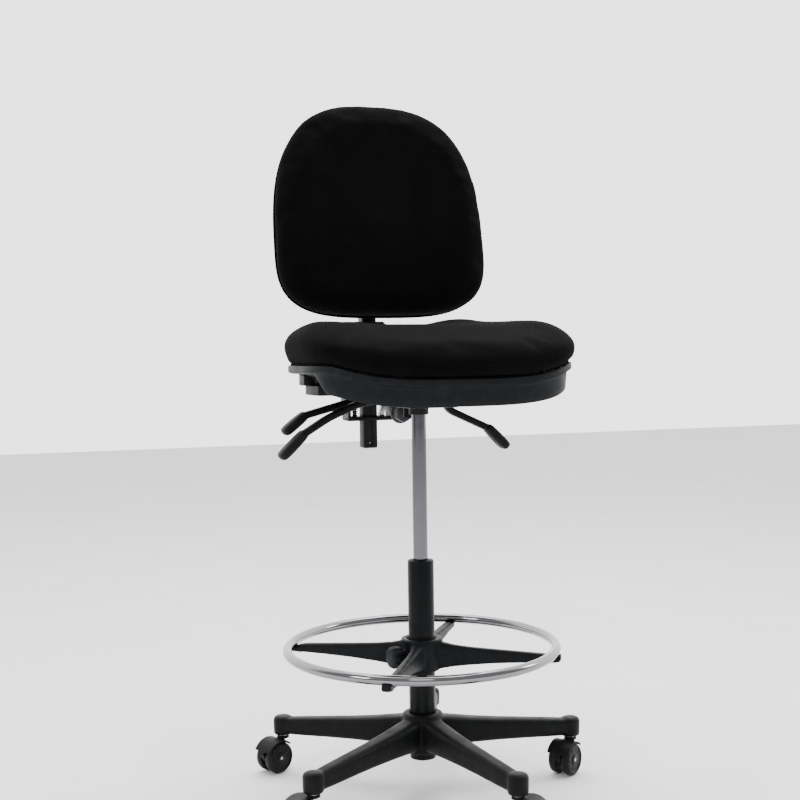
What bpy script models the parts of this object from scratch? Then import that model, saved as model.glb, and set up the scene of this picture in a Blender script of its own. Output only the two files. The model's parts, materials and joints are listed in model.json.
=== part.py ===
"""Drafting chair: five-star base on castors, gas lift, clamped foot ring, three-lever mechanism,
moulded seat on a plastic pan and a height-adjustable back. Metres, +Z up, the sitter faces -Y.
The origin is on the floor under the column's axis."""

import math

import bmesh
import bpy
from mathutils import Vector

NAME = "drafting_chair"
GAP = 0.0003

# Base and castors
ARM_COUNT = 5
FIRST_ARM = math.radians(66.6)
CASTOR_REACH = 0.300
WHEEL_R = 0.030
WHEEL_WIDTH = 0.017
CASTOR_TRAIL = 0.022
CASTOR_TURNS = [math.radians(a) for a in (150.0, 205.0, 170.0, 335.0, 215.0)]
STEM_R = 0.0055
SOCKET_R = 0.019
SOCKET_BOTTOM = 0.0695
SOCKET_TOP = 0.105
HUB_R = 0.040
HUB_BOTTOM = 0.070
HUB_TOP = 0.142

# Gas lift
TUBE_R = 0.025
TUBE_BORE = 0.022
TUBE_BOTTOM = 0.055
TUBE_TOP = 0.431
CYLINDER_R = 0.014
CYLINDER_BORE = 0.011
CYLINDER_BOTTOM = 0.343
CYLINDER_TOP = 0.744
ROD_R = 0.005
PIN_R = 0.004
PIN_TOP = 0.7485

# Foot ring
RING_R = 0.2555
RING_TUBE_R = 0.009
RING_Z = 0.266
SPOKE_COUNT = 4
FIRST_SPOKE = math.radians(-33.5)
SPIDER_BOTTOM = 0.222
SPIDER_TOP = 0.283
SLEEVE_R = 0.0275
COLLAR_R = 0.038
KNOB_ANGLE = math.radians(191.0)
KNOB_Z = 0.252

# Mechanism
HOUSING_HALF = Vector((0.048, 0.085))
HOUSING_BOTTOM = 0.724
HOUSING_TOP = 0.760
SHEET = 0.0025
COLLAR_BOTTOM = 0.709
SEAT_AXIS = Vector((0.0, -0.045, 0.748))
BACK_AXIS = Vector((0.0, 0.065, 0.742))
SHAFT_R = 0.005
LEVER_PIVOT_X = 0.0565
LEVER_PIVOT_Z = 0.742
LEVER_WIDTH = 0.018
TAIL_THICKNESS = 0.006
ARM_THICKNESS = 0.012
TENSION_AXIS = Vector((0.004, 0.0, 0.706))

# Seat
SEAT_CENTRE_Y = -0.045
SEAT_HALF_WIDTH = 0.257
SEAT_FRONT = 0.200
SEAT_REAR = 0.215
FRONT_POWER = 3.4
REAR_POWER = 2.3
RIM_Z = 0.806
FRONT_DIP = 0.026
FRONT_DIP_LENGTH = 0.065
LIP = 0.013
SKIRT_BOTTOM = 0.732
SKIRT_RISE = 0.023
SKIRT_START = -0.137
BLOCK_BOTTOM = 0.752
PLATE_Z = 0.779
PLATE_T = 0.003
FLOOR_T = 0.003
BOARD_T = 0.012

# Back
BACK_LEAN = math.radians(9.0)
BACK_BASE = Vector((0.0, 0.2243, 0.899))
BACK_HALF_WIDTH = 0.2275
BACK_LOWER = 0.153
BACK_UPPER = 0.300
SHELL_REAR = -0.030
BAR_Y = 0.315
BAR_HALF = 0.0155
BAR_BOTTOM = 0.624
BAR_BEND_Z = 0.905
HEAD_LOW = 0.055
HEAD_HIGH = 0.215
HEAD_T = 0.020
GUIDE_HALF = Vector((0.052, 0.023))
GUIDE_BOTTOM = 0.683


def new_collection(name):
    collection = bpy.data.collections.new(name)
    bpy.context.scene.collection.children.link(collection)
    return collection


for startup_object in list(bpy.data.objects):
    bpy.data.objects.remove(startup_object, do_unlink=True)
PARTS = new_collection(NAME)
CUTTERS = new_collection(NAME + "_cutters")


def material(name, colour, roughness, metallic=0.0):
    made = bpy.data.materials.new(name)
    made.use_nodes = True
    shader = made.node_tree.nodes["Principled BSDF"]
    shader.inputs["Base Color"].default_value = (*colour, 1.0)
    shader.inputs["Roughness"].default_value = roughness
    shader.inputs["Metallic"].default_value = metallic
    return made


def black_plastic(name):
    return material(name, (0.022, 0.023, 0.025), 0.5)


def black_steel(name):
    return material(name, (0.018, 0.019, 0.021), 0.42, 0.3)


def bright_steel(name):
    return material(name, (0.62, 0.63, 0.65), 0.22, 1.0)


def fabric(name):
    return material(name, (0.007, 0.007, 0.008), 0.92)


# Construction helpers

def place(name, mesh, finish, location=(0, 0, 0), rotation=(0, 0, 0), smooth=35):
    obj = bpy.data.objects.new(name, mesh)
    obj.location = location
    obj.rotation_euler = rotation
    if finish is None:
        CUTTERS.objects.link(obj)
        obj.hide_render = True
        obj.display_type = "WIRE"
    else:
        PARTS.objects.link(obj)
        mesh.materials.append(finish(name))
    if smooth:
        mesh.shade_smooth()
        mesh.set_sharp_from_angle(angle=math.radians(smooth))
    return obj


def box(name, finish, corner, opposite, bevel=0.0, rotation=(0, 0, 0)):
    low = Vector(map(min, corner, opposite))
    high = Vector(map(max, corner, opposite))
    cube = bmesh.new()
    bmesh.ops.create_cube(cube, size=1.0)
    bmesh.ops.scale(cube, vec=high - low, verts=cube.verts)
    mesh = bpy.data.meshes.new(name)
    cube.to_mesh(mesh)
    cube.free()
    obj = place(name, mesh, finish, (low + high) / 2, rotation)
    if bevel:
        add_bevel(obj, bevel)
    return obj


def add_bevel(obj, width, segments=2):
    bevel = obj.modifiers.new("rounded_edges", "BEVEL")
    bevel.width = width
    bevel.segments = segments
    bevel.limit_method = "ANGLE"


def rod(name, finish, radius, start, end, sides=24, bevel=0.0):
    start, end = Vector(start), Vector(end)
    span = end - start
    cylinder = bmesh.new()
    bmesh.ops.create_cone(cylinder, cap_ends=True, segments=sides, radius1=radius, radius2=radius,
                          depth=span.length)
    mesh = bpy.data.meshes.new(name)
    cylinder.to_mesh(mesh)
    cylinder.free()
    turn = span.to_track_quat("Z", "Y").to_euler()
    obj = place(name, mesh, finish, (start + end) / 2, turn)
    if bevel:
        add_bevel(obj, bevel)
    return obj


def turned(name, finish, profile, location=(0, 0, 0), rotation=(0, 0, 0), steps=24):
    """A closed turned shape; the profile (radius, z) runs down its outer side from the top."""
    mesh = bpy.data.meshes.new(name)
    points = [(radius, 0.0, z) for radius, z in profile]
    closed = profile[0][0] > 0.0
    edges = [(i, i + 1) for i in range(len(points) - 1)]
    if closed:
        edges.append((len(points) - 1, 0))
    mesh.from_pydata(points, edges, [])
    obj = place(name, mesh, finish, location, rotation, smooth=0)
    screw = obj.modifiers.new("turned", "SCREW")
    screw.steps = screw.render_steps = steps
    screw.use_merge_vertices = True
    screw.merge_threshold = 0.0001
    screw.use_smooth_shade = False
    return obj


def outline_mesh(name, points, thickness):
    """A flat outline in XY, extruded by half the thickness to each side."""
    curve = bpy.data.curves.new(name, "CURVE")
    curve.dimensions = "2D"
    curve.fill_mode = "BOTH"
    curve.extrude = thickness / 2
    spline = curve.splines.new("POLY")
    spline.points.add(len(points) - 1)
    for target, (x, y) in zip(spline.points, points):
        target.co = (x, y, 0.0, 1.0)
    spline.use_cyclic_u = True
    return welded_mesh(name, curve)


def welded_mesh(name, curve):
    holder = bpy.data.objects.new(name, curve)
    CUTTERS.objects.link(holder)
    graph = bpy.context.evaluated_depsgraph_get()
    mesh = bpy.data.meshes.new_from_object(holder.evaluated_get(graph))
    bpy.data.objects.remove(holder, do_unlink=True)
    bpy.data.curves.remove(curve)
    welded = bmesh.new()
    welded.from_mesh(mesh)
    bmesh.ops.remove_doubles(welded, verts=welded.verts, dist=0.00001)
    bmesh.ops.recalc_face_normals(welded, faces=welded.faces)
    welded.to_mesh(mesh)
    welded.free()
    mesh.name = name
    return mesh


def loft(name, finish, rings, smooth=40):
    """A closed skin through rings of equal point count, ending in a point at each end."""
    mesh = bpy.data.meshes.new(name)
    skin = bmesh.new()
    rows = [[skin.verts.new(point) for point in ring] for ring in rings[1:-1]]
    first, last = skin.verts.new(rings[0]), skin.verts.new(rings[-1])
    count = len(rows[0])
    for k in range(count):
        after = (k + 1) % count
        skin.faces.new((first, rows[0][after], rows[0][k]))
        skin.faces.new((last, rows[-1][k], rows[-1][after]))
        for lower, upper in zip(rows, rows[1:]):
            skin.faces.new((lower[k], lower[after], upper[after], upper[k]))
    bmesh.ops.recalc_face_normals(skin, faces=skin.faces)
    skin.to_mesh(mesh)
    skin.free()
    return place(name, mesh, finish, smooth=smooth)


def combine(target, tool, operation):
    modifier = target.modifiers.new(operation.lower() + "_" + tool.name, "BOOLEAN")
    modifier.operation = operation
    modifier.solver = "EXACT"
    modifier.object = tool


def at_angle(radius, angle, z=0.0):
    return Vector((radius * math.cos(angle), radius * math.sin(angle), z))


# Base and castors

def five_star_base():
    base = turned("five_star_base", black_plastic, [
        (HUB_R - 0.006, HUB_TOP), (HUB_R, HUB_TOP - 0.006), (HUB_R + 0.004, HUB_BOTTOM + 0.006),
        (HUB_R + 0.001, HUB_BOTTOM), (TUBE_R + GAP, HUB_BOTTOM), (TUBE_R + GAP, HUB_TOP)], steps=28)
    for k in range(ARM_COUNT):
        angle = FIRST_ARM + k * 2 * math.pi / ARM_COUNT
        combine(base, base_arm(k, angle), "UNION")
        centre = at_angle(CASTOR_REACH, angle)
        bore = rod(f"stem_bore_{k + 1}", None, STEM_R + 0.0005,
                   centre + Vector((0, 0, SOCKET_BOTTOM - 0.01)), centre + Vector((0, 0, 0.0985)), 12)
        combine(base, bore, "DIFFERENCE")
    return base


def base_arm(k, angle):
    """One arm: a bar that tapers in height and width out to the round castor socket."""
    stations = [(0.031, 0.0225, 0.0742, 0.134), (0.090, 0.021, 0.076, 0.124),
                (0.180, 0.0175, 0.075, 0.114), (0.262, 0.0160, 0.072, 0.1055),
                (0.290, 0.0150, 0.0715, 0.1025)]
    arm = bmesh.new()
    rows = []
    for reach, half, low, high in stations:
        chamfer = 0.006
        section = [(-half, low), (half, low), (half, high - chamfer), (half - chamfer, high),
                   (-half + chamfer, high), (-half, high - chamfer)]
        rows.append([arm.verts.new((reach, y, z)) for y, z in section])
    for row, following in zip(rows, rows[1:]):
        for i in range(len(row)):
            j = (i + 1) % len(row)
            arm.faces.new((row[i], row[j], following[j], following[i]))
    arm.faces.new(rows[0][::-1])
    arm.faces.new(rows[-1])
    bmesh.ops.recalc_face_normals(arm, faces=arm.faces)
    mesh = bpy.data.meshes.new(f"arm_{k + 1}")
    arm.to_mesh(mesh)
    arm.free()
    tool = place(f"arm_{k + 1}", mesh, None, rotation=(0, 0, angle))
    centre = at_angle(CASTOR_REACH, angle)
    socket = turned(f"socket_{k + 1}", None, [
        (0.0, SOCKET_TOP + 0.0015), (SOCKET_R - 0.004, SOCKET_TOP), (SOCKET_R, SOCKET_TOP - 0.006),
        (SOCKET_R - 0.001, SOCKET_BOTTOM), (0.0, SOCKET_BOTTOM)], location=centre, steps=20)
    combine(tool, socket, "UNION")
    return tool


def castor(number, pivot, turn):
    """A hooded twin-wheel castor whose wheels trail behind its stem."""
    name = f"castor_{number}"
    trail = at_angle(CASTOR_TRAIL, turn)
    axle_centre = Vector((pivot.x, pivot.y, WHEEL_R)) + trail
    side = at_angle(1.0, turn + math.pi / 2)
    steps = 7
    radius = WHEEL_R + 0.003
    hood = [(radius * math.cos(a), radius * math.sin(a))
            for a in (math.radians(15 + 165 * i / steps) for i in range(steps + 1))]
    hood += [(-0.030, -0.006), (-0.012, -0.012), (0.012, -0.012), (0.026, -0.004)]
    housing = place(name + "_housing", outline_mesh(name + "_housing", hood, 0.011), black_plastic,
                    axle_centre, (math.pi / 2, 0, turn))
    boss = turned(name + "_boss", None, [
        (0.0, SOCKET_BOTTOM + 0.027), (STEM_R - 0.001, SOCKET_BOTTOM + 0.027),
        (STEM_R, SOCKET_BOTTOM + 0.026), (STEM_R, SOCKET_BOTTOM - 0.0015),
        (0.0125, SOCKET_BOTTOM - 0.0015), (0.0125, 0.0612), (0.0, 0.0612)],
        location=(pivot.x, pivot.y, 0.0), steps=16)
    crown = bridge_hood(name, axle_centre, turn)
    combine(housing, crown, "UNION")
    combine(housing, boss, "UNION")
    axle_bore = rod(name + "_axle_bore", None, 0.0035, axle_centre - side * 0.02,
                    axle_centre + side * 0.02, 12)
    combine(housing, axle_bore, "DIFFERENCE")
    half_axle = 0.0155
    rod(name + "_axle", bright_steel, 0.003, axle_centre - side * half_axle,
        axle_centre + side * half_axle, 10)
    for label, sign in (("left", 1), ("right", -1)):
        wheel(f"{name}_wheel_{label}", axle_centre + side * sign * 0.0063, turn, sign)


def bridge_hood(name, axle_centre, turn):
    """The curved cover over both wheels: an arc strip wider than the web."""
    inner, outer, steps = WHEEL_R + 0.0013, WHEEL_R + 0.0042, 6
    sweep = [math.radians(28 + 104 * i / steps) for i in range(steps + 1)]
    outline = [(outer * math.cos(a), outer * math.sin(a)) for a in sweep]
    outline += [(inner * math.cos(a), inner * math.sin(a)) for a in reversed(sweep)]
    mesh = outline_mesh(name + "_crown", outline, 0.047)
    return place(name + "_crown", mesh, None, axle_centre, (math.pi / 2, 0, turn))


def wheel(name, inner_face, turn, sign):
    """A wheel with a rounded tread and a dished outer face, bored for the axle."""
    width = WHEEL_WIDTH
    bore = 0.0033
    profile = [(bore, width), (bore, 0.0), (WHEEL_R - 0.002, 0.0), (WHEEL_R, 0.003),
               (WHEEL_R, width - 0.005), (WHEEL_R - 0.004, width)]
    profile = [profile[0]] + profile[:0:-1] if sign > 0 else [(r, -z) for r, z in profile]
    turned(name, black_plastic, profile, inner_face, (-math.pi / 2, 0, turn), steps=20)


# Gas lift

def gas_lift():
    turned("lift_outer_tube", black_steel, [
        (TUBE_R - 0.001, TUBE_TOP), (TUBE_R, TUBE_TOP - 0.001), (TUBE_R, TUBE_BOTTOM),
        (ROD_R + 0.001, TUBE_BOTTOM), (ROD_R + 0.001, TUBE_BOTTOM + 0.003),
        (TUBE_BORE, TUBE_BOTTOM + 0.003), (TUBE_BORE, TUBE_TOP)], steps=28)
    turned("lift_guide_bush", black_plastic, [
        (TUBE_BORE - GAP, TUBE_TOP), (TUBE_BORE - GAP, TUBE_TOP - 0.080),
        (CYLINDER_R + 0.0004, TUBE_TOP - 0.080), (CYLINDER_R + 0.0004, TUBE_TOP)], steps=28)
    plate = TUBE_BOTTOM + 0.003 + GAP
    turned("lift_thrust_bearing", bright_steel, [
        (0.013, plate + 0.007), (0.013, plate), (ROD_R + 0.001, plate), (ROD_R + 0.001, plate + 0.007)],
        steps=16)
    shoulder = plate + 0.007 + GAP
    turned("lift_piston_rod", bright_steel, [
        (0.0, 0.372), (CYLINDER_BORE - 0.0006, 0.372), (CYLINDER_BORE - 0.0006, 0.360), (ROD_R, 0.360),
        (ROD_R, shoulder + 0.004), (0.009, shoulder + 0.004), (0.009, shoulder), (ROD_R, shoulder),
        (ROD_R, 0.048), (0.0, 0.048)], steps=16)
    turned("lift_retaining_clip", bright_steel, [
        (0.0095, TUBE_BOTTOM - GAP), (0.0095, TUBE_BOTTOM - 0.0023), (ROD_R + GAP, TUBE_BOTTOM - 0.0023),
        (ROD_R + GAP, TUBE_BOTTOM - GAP)], steps=16)
    turned("lift_gas_cylinder", bright_steel, [
        (CYLINDER_R - 0.001, CYLINDER_TOP), (CYLINDER_R, CYLINDER_TOP - 0.001),
        (CYLINDER_R, CYLINDER_BOTTOM + 0.001), (CYLINDER_R - 0.001, CYLINDER_BOTTOM),
        (ROD_R + 0.0012, CYLINDER_BOTTOM), (ROD_R + 0.0012, CYLINDER_BOTTOM + 0.012),
        (CYLINDER_BORE, CYLINDER_BOTTOM + 0.012), (CYLINDER_BORE, CYLINDER_TOP - 0.030),
        (PIN_R + GAP, CYLINDER_TOP - 0.030), (PIN_R + GAP, CYLINDER_TOP)], steps=28)
    turned("release_pin", bright_steel, [
        (0.0, PIN_TOP), (PIN_R - 0.001, PIN_TOP), (PIN_R, PIN_TOP - 0.001), (PIN_R, PIN_TOP - 0.028),
        (0.0, PIN_TOP - 0.028)], steps=12)


# Foot ring

def foot_ring():
    turned("footring_sleeve", black_plastic, [
        (SLEEVE_R, SPIDER_TOP + 0.002), (SLEEVE_R, SPIDER_BOTTOM - 0.002),
        (TUBE_R + GAP, SPIDER_BOTTOM - 0.002), (TUBE_R + GAP, SPIDER_TOP + 0.002)], steps=28)
    hub = turned("footring_hub", black_plastic, [
        (COLLAR_R, SPIDER_TOP), (COLLAR_R + 0.001, SPIDER_TOP - 0.003),
        (COLLAR_R - 0.001, SPIDER_TOP - 0.006), (COLLAR_R - 0.002, SPIDER_BOTTOM),
        (SLEEVE_R + GAP, SPIDER_BOTTOM), (SLEEVE_R + GAP, SPIDER_TOP)], steps=28)
    for k in range(SPOKE_COUNT):
        angle = FIRST_SPOKE + k * 2 * math.pi / SPOKE_COUNT
        combine(hub, spoke(k, angle), "UNION")
    combine(hub, knob_boss(), "UNION")
    combine(hub, screw_bore(), "DIFFERENCE")
    groove = torus("ring_groove", None, RING_R, RING_TUBE_R + GAP, RING_Z, 72, 8)
    combine(hub, groove, "DIFFERENCE")
    torus("footring_ring", bright_steel, RING_R, RING_TUBE_R, RING_Z, 72, 8)
    footring_knob()


def spoke(k, angle):
    """A web that narrows and rises from the hub, with a cradle under the ring at its end."""
    side = [(0.030, SPIDER_BOTTOM + 0.002), (0.070, SPIDER_BOTTOM + 0.010), (0.150, 0.2405),
            (0.236, 0.2465), (0.258, 0.2470), (0.2635, 0.2520), (0.2645, 0.2640), (0.2500, 0.2640),
            (0.2440, 0.2620), (0.150, 0.2655), (0.075, 0.2700), (0.030, SPIDER_TOP - 0.006)]
    mesh = outline_mesh(f"spoke_{k + 1}", side, 0.017)
    web = place(f"spoke_{k + 1}", mesh, None, rotation=(math.pi / 2, 0, angle))
    add_bevel(web, 0.003, 1)
    return web


def torus(name, finish, major, minor, z, major_steps, minor_steps):
    bpy.ops.mesh.primitive_torus_add(major_radius=major, minor_radius=minor,
                                     major_segments=major_steps, minor_segments=minor_steps)
    made = bpy.context.object
    mesh = made.data.copy()
    bpy.data.objects.remove(made, do_unlink=True)
    mesh.materials.clear()
    return place(name, mesh, finish, (0, 0, z), smooth=80)


def knob_boss():
    return rod("knob_boss", None, 0.011, at_angle(SLEEVE_R + 0.004, KNOB_ANGLE, KNOB_Z),
               at_angle(0.046, KNOB_ANGLE, KNOB_Z), 16)


def screw_bore():
    return rod("screw_bore", None, 0.0045, at_angle(0.020, KNOB_ANGLE, KNOB_Z),
               at_angle(0.060, KNOB_ANGLE, KNOB_Z), 16)


def footring_knob():
    """A ribbed hand knob on its clamp screw, which reaches to the sleeve."""
    lobes, steps = 8, 32
    outline = [at_angle(0.0195 + 0.0014 * math.cos(lobes * a), a).xy
               for a in (2 * math.pi * i / steps for i in range(steps))]
    mesh = outline_mesh("footring_knob", [tuple(p) for p in outline], 0.024)
    centre = at_angle(0.0465 + GAP + 0.012, KNOB_ANGLE, KNOB_Z)
    knob = place("footring_knob", mesh, black_plastic, centre,
                 (0, math.pi / 2, KNOB_ANGLE), smooth=30)
    add_bevel(knob, 0.0025, 1)
    screw = rod("clamp_screw", None, 0.004, at_angle(SLEEVE_R + 0.001, KNOB_ANGLE, KNOB_Z),
                at_angle(0.052, KNOB_ANGLE, KNOB_Z), 16)
    combine(knob, screw, "UNION")


# Mechanism

def mechanism():
    hx, hy = HOUSING_HALF
    housing = box("mechanism_housing", black_steel, (-hx, -hy, HOUSING_BOTTOM), (hx, hy, HOUSING_TOP),
                  0.002)
    hollow = box("housing_hollow", None, (-hx + SHEET, -hy + SHEET, HOUSING_BOTTOM + SHEET),
                 (hx - SHEET, hy - SHEET, HOUSING_TOP + 0.01))
    combine(housing, hollow, "DIFFERENCE")
    collar = rod("lift_collar", None, 0.019, (0, 0, COLLAR_BOTTOM), (0, 0, 0.7405), 32)
    combine(housing, collar, "UNION")
    bore = rod("lift_bore", None, CYLINDER_R + GAP, (0, 0, COLLAR_BOTTOM - 0.01), (0, 0, 0.75), 40)
    combine(housing, bore, "DIFFERENCE")
    for axis, label in ((SEAT_AXIS, "seat"), (BACK_AXIS, "back")):
        reach = hx + 0.0085
        rod(f"{label}_tilt_shaft", bright_steel, SHAFT_R, (-reach, axis.y, axis.z),
            (reach, axis.y, axis.z), 20)
        hole = rod(f"{label}_shaft_hole", None, SHAFT_R + GAP, (-0.08, axis.y, axis.z),
                   (0.08, axis.y, axis.z), 20)
        combine(housing, hole, "DIFFERENCE")
    tension_knob(hy)
    for lever in LEVERS:
        build_lever(housing, *lever)


def tension_knob(hy):
    """A six-sided knob with a round flange, turning on a stud behind the housing."""
    flange = 0.115
    knob = rod("tension_knob", black_plastic, 0.0180, TENSION_AXIS + Vector((0, hy + 0.006, 0)),
               TENSION_AXIS + Vector((0, flange, 0)), 6, 0.002)
    disc = rod("tension_flange", None, 0.0205, TENSION_AXIS + Vector((0, flange - 0.001, 0)),
               TENSION_AXIS + Vector((0, flange + 0.005, 0)), 32)
    combine(knob, disc, "UNION")
    stud_bore = rod("stud_bore", None, 0.0045, TENSION_AXIS + Vector((0, hy, 0)),
                    TENSION_AXIS + Vector((0, flange - 0.008, 0)), 16)
    combine(knob, stud_bore, "DIFFERENCE")
    stud = box("tension_stud", black_steel, (-0.010, hy - 0.030, TENSION_AXIS.z - 0.006),
               (0.018, hy - 0.026, HOUSING_BOTTOM - GAP))
    shank = rod("stud_shank", None, 0.004, TENSION_AXIS + Vector((0, hy - 0.028, 0)),
                TENSION_AXIS + Vector((0, flange - 0.010, 0)), 16)
    combine(stud, shank, "UNION")


# Each lever: name, side (+1 is +X), Y place, outer bends (reach, z), tip, whether it works the valve
LEVERS = (
    ("lever_gas", -1, -0.004, ((0.120, 0.733), (0.180, 0.708), (0.228, 0.679)), (0.2715, 0.637), True),
    ("lever_back_tilt", -1, 0.034, ((0.120, 0.736), (0.217, 0.711)), (0.256, 0.680), False),
    ("lever_seat_tilt", 1, 0.034, ((0.074, 0.7145), (0.158, 0.676)), (0.197, 0.637), False),
)


def build_lever(housing, name, side, y, bends, tip, on_valve):
    """A flat bar through the housing wall, bent down into a moulded paddle."""
    pivot = (LEVER_PIVOT_X, LEVER_PIVOT_Z)
    over_pin = PIN_TOP + 0.0008 + TAIL_THICKNESS / 2
    inner = [(-0.0045, over_pin), (0.012, over_pin)] if on_valve else [(0.0505, LEVER_PIVOT_Z)]
    line = [*inner, pivot, *bends]
    grip_start = Vector(bends[-1])
    grip_end = Vector(tip)
    along = (grip_end - grip_start).normalized()
    line.append(tuple(grip_start + along * 0.022))
    outer = len(bends) + 1
    thickness = [TAIL_THICKNESS] * (len(line) - outer) + [ARM_THICKNESS] * outer
    bar_mesh = outline_mesh(name + "_bar", thick_line(line, thickness), LEVER_WIDTH)
    bar = place(name + "_bar", bar_mesh, black_steel, (0, y, 0), (math.pi / 2, 0, 0))
    if side < 0:
        bar.rotation_euler = (math.pi / 2, 0, math.pi)
    eye = rod(name + "_eye", None, 0.0065, (side * LEVER_PIVOT_X, y - LEVER_WIDTH / 2, LEVER_PIVOT_Z),
              (side * LEVER_PIVOT_X, y + LEVER_WIDTH / 2, LEVER_PIVOT_Z), 20)
    combine(bar, eye, "UNION")
    if on_valve:
        slot = box(name + "_slot", None, (0.03 * side, y - 0.0125, 0.735), (0.06 * side, y + 0.0125, 0.77))
        combine(housing, slot, "DIFFERENCE")
    paddle(name, side, y, grip_start, along, (grip_end - grip_start).length)


def thick_line(points, thicknesses):
    """The outline of a bent strip: each point moved to both sides along its mitre."""
    upper, lower = [], []
    vectors = [Vector(p) for p in points]
    for i, point in enumerate(vectors):
        before = (point - vectors[i - 1]).normalized() if i else None
        after = (vectors[i + 1] - point).normalized() if i + 1 < len(vectors) else None
        first, second = before or after, after or before
        mitre = (first + second).normalized()
        normal = Vector((-mitre.y, mitre.x))
        reach = thicknesses[i] / 2 / max(0.3, mitre.dot(first))
        upper.append(tuple(point + normal * reach))
        lower.append(tuple(point - normal * reach))
    return upper + lower[::-1]


def paddle(name, side, y, start, along, length):
    """A rounded grip round the bar's end, wider than the bar and thin at its tip."""
    normal = Vector((-along.y, along.x))
    clear = 0.0006
    tool_length = 0.024
    stations = ((0.0008, 0.0125, 0.0085), (0.012, 0.0140, 0.0092), (length * 0.75, 0.0165, 0.0092),
                (length * 0.97, 0.0150, 0.0075), (length, 0.0115, 0.0055))
    sides = 12
    rings = []
    for distance, half_width, half_thick in stations:
        ring = []
        for i in range(sides):
            angle = 2 * math.pi * i / sides
            across = half_width * math.copysign(abs(math.cos(angle)) ** 0.6, math.cos(angle))
            up = half_thick * math.copysign(abs(math.sin(angle)) ** 0.6, math.sin(angle))
            spot = start + along * distance + normal * up
            ring.append(Vector((side * spot.x, y + across, spot.y)))
        rings.append(ring)
    head = sum(rings[0], Vector()) / sides
    tail = sum(rings[-1], Vector()) / sides
    grip = loft(name + "_paddle", black_plastic, [head, *rings, tail])
    middle = start + along * (tool_length / 2 - 0.002)
    tilt = math.atan2(along.y, along.x)
    half = Vector((tool_length / 2, LEVER_WIDTH / 2 + clear / 2, ARM_THICKNESS / 2 + clear / 2))
    pocket = box(name + "_pocket", None, -half, half, rotation=(0, -tilt if side > 0 else math.pi + tilt, 0))
    pocket.location = (side * middle.x, y, middle.y)
    combine(grip, pocket, "DIFFERENCE")


# Seat

def seat_reach(angle):
    """Reach of the rim from the seat's centre: squarer in front, rounder behind."""
    depth, power = (SEAT_REAR, REAR_POWER) if math.sin(angle) > 0 else (SEAT_FRONT, FRONT_POWER)
    return (abs(math.cos(angle) / SEAT_HALF_WIDTH) ** power
            + abs(math.sin(angle) / depth) ** power) ** (-1 / power)


def smoothstep(t):
    t = min(1.0, max(0.0, t))
    return t * t * (3 - 2 * t)


def bell(t):
    return math.exp(-t * t)


def front_share(y):
    """0 behind the dipping front of the rim, 1 at its front edge."""
    return min(1.0, max(0.0, (SEAT_CENTRE_Y - SEAT_FRONT + FRONT_DIP_LENGTH - y) / FRONT_DIP_LENGTH))


def rim_height(y):
    """The rim is level round the sides and rear and dips along the front."""
    t = front_share(y)
    return RIM_Z - FRONT_DIP * t * t * (1.6 - 0.6 * t)


def skirt_depth(y):
    """How far the skirt hangs under the lip: full in front, cut on a slant at the sides."""
    share = min(1.0, max(0.0, (SKIRT_START - y) / 0.040))
    bottom = SKIRT_BOTTOM + SKIRT_RISE * (1 - front_share(y) ** 1.3)
    return share * (rim_height(y) - LIP - 0.002 - bottom)


def seat_ring(scale, height, count=44):
    ring = []
    for i in range(count):
        angle = 2 * math.pi * i / count
        reach = seat_reach(angle)
        rim_y = SEAT_CENTRE_Y + reach * math.sin(angle)
        x = scale * reach * math.cos(angle)
        y = SEAT_CENTRE_Y + scale * reach * math.sin(angle)
        ring.append(Vector((x, y, height(rim_y))))
    return ring


def side_point(scale, y):
    """(x, y) on the +X side of the seat's outline drawn in by scale."""
    depth, power = (SEAT_REAR, REAR_POWER) if y > SEAT_CENTRE_Y else (SEAT_FRONT, FRONT_POWER)
    along = abs(y - SEAT_CENTRE_Y) / (scale * depth)
    return scale * SEAT_HALF_WIDTH * (1 - along ** power) ** (1 / power), y


def seat_pan_cover():
    floor_low = PLATE_Z + PLATE_T + GAP
    floor_high = floor_low + FLOOR_T
    rings = [
        Vector((0, SEAT_CENTRE_Y, floor_high)),
        seat_ring(0.860, lambda y: floor_high),
        seat_ring(0.945, lambda y: rim_height(y) - 0.010),
        seat_ring(0.983, lambda y: rim_height(y) - 0.008),
        seat_ring(0.985, rim_height),
        seat_ring(1.000, rim_height),
        seat_ring(1.000, lambda y: rim_height(y) - LIP),
        seat_ring(0.968, lambda y: rim_height(y) - LIP - 0.002),
        seat_ring(0.955, lambda y: rim_height(y) - LIP - 0.002 - skirt_depth(y)),
        seat_ring(0.943, lambda y: rim_height(y) - LIP - 0.002 - skirt_depth(y)),
        seat_ring(0.940, lambda y: rim_height(y) - LIP - 0.0015),
        seat_ring(0.850, lambda y: floor_low),
        Vector((0, SEAT_CENTRE_Y, floor_low)),
    ]
    pan = loft("seat_pan_cover", black_plastic, rings)
    for side in (-1, 1):
        for label, inner, outer, front, rear, low, high in (
                ("upper", 0.84, 0.920, -0.045, 0.105, 0.770, 0.789),
                ("lower", 0.78, 0.875, -0.095, 0.095, BLOCK_BOTTOM, 0.7838)):
            edge = [side_point(outer, front + (rear - front) * i / 8) for i in range(9)]
            edge += [side_point(inner, rear + (front - rear) * i / 8) for i in range(9)]
            mesh = outline_mesh(f"pan_block_{label}_{side}", [(side * x, y) for x, y in edge][::side],
                                high - low)
            block = place(f"pan_block_{label}_{side}", mesh, None, (0, 0, (low + high) / 2))
            combine(pan, block, "UNION")
    return pan


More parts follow.
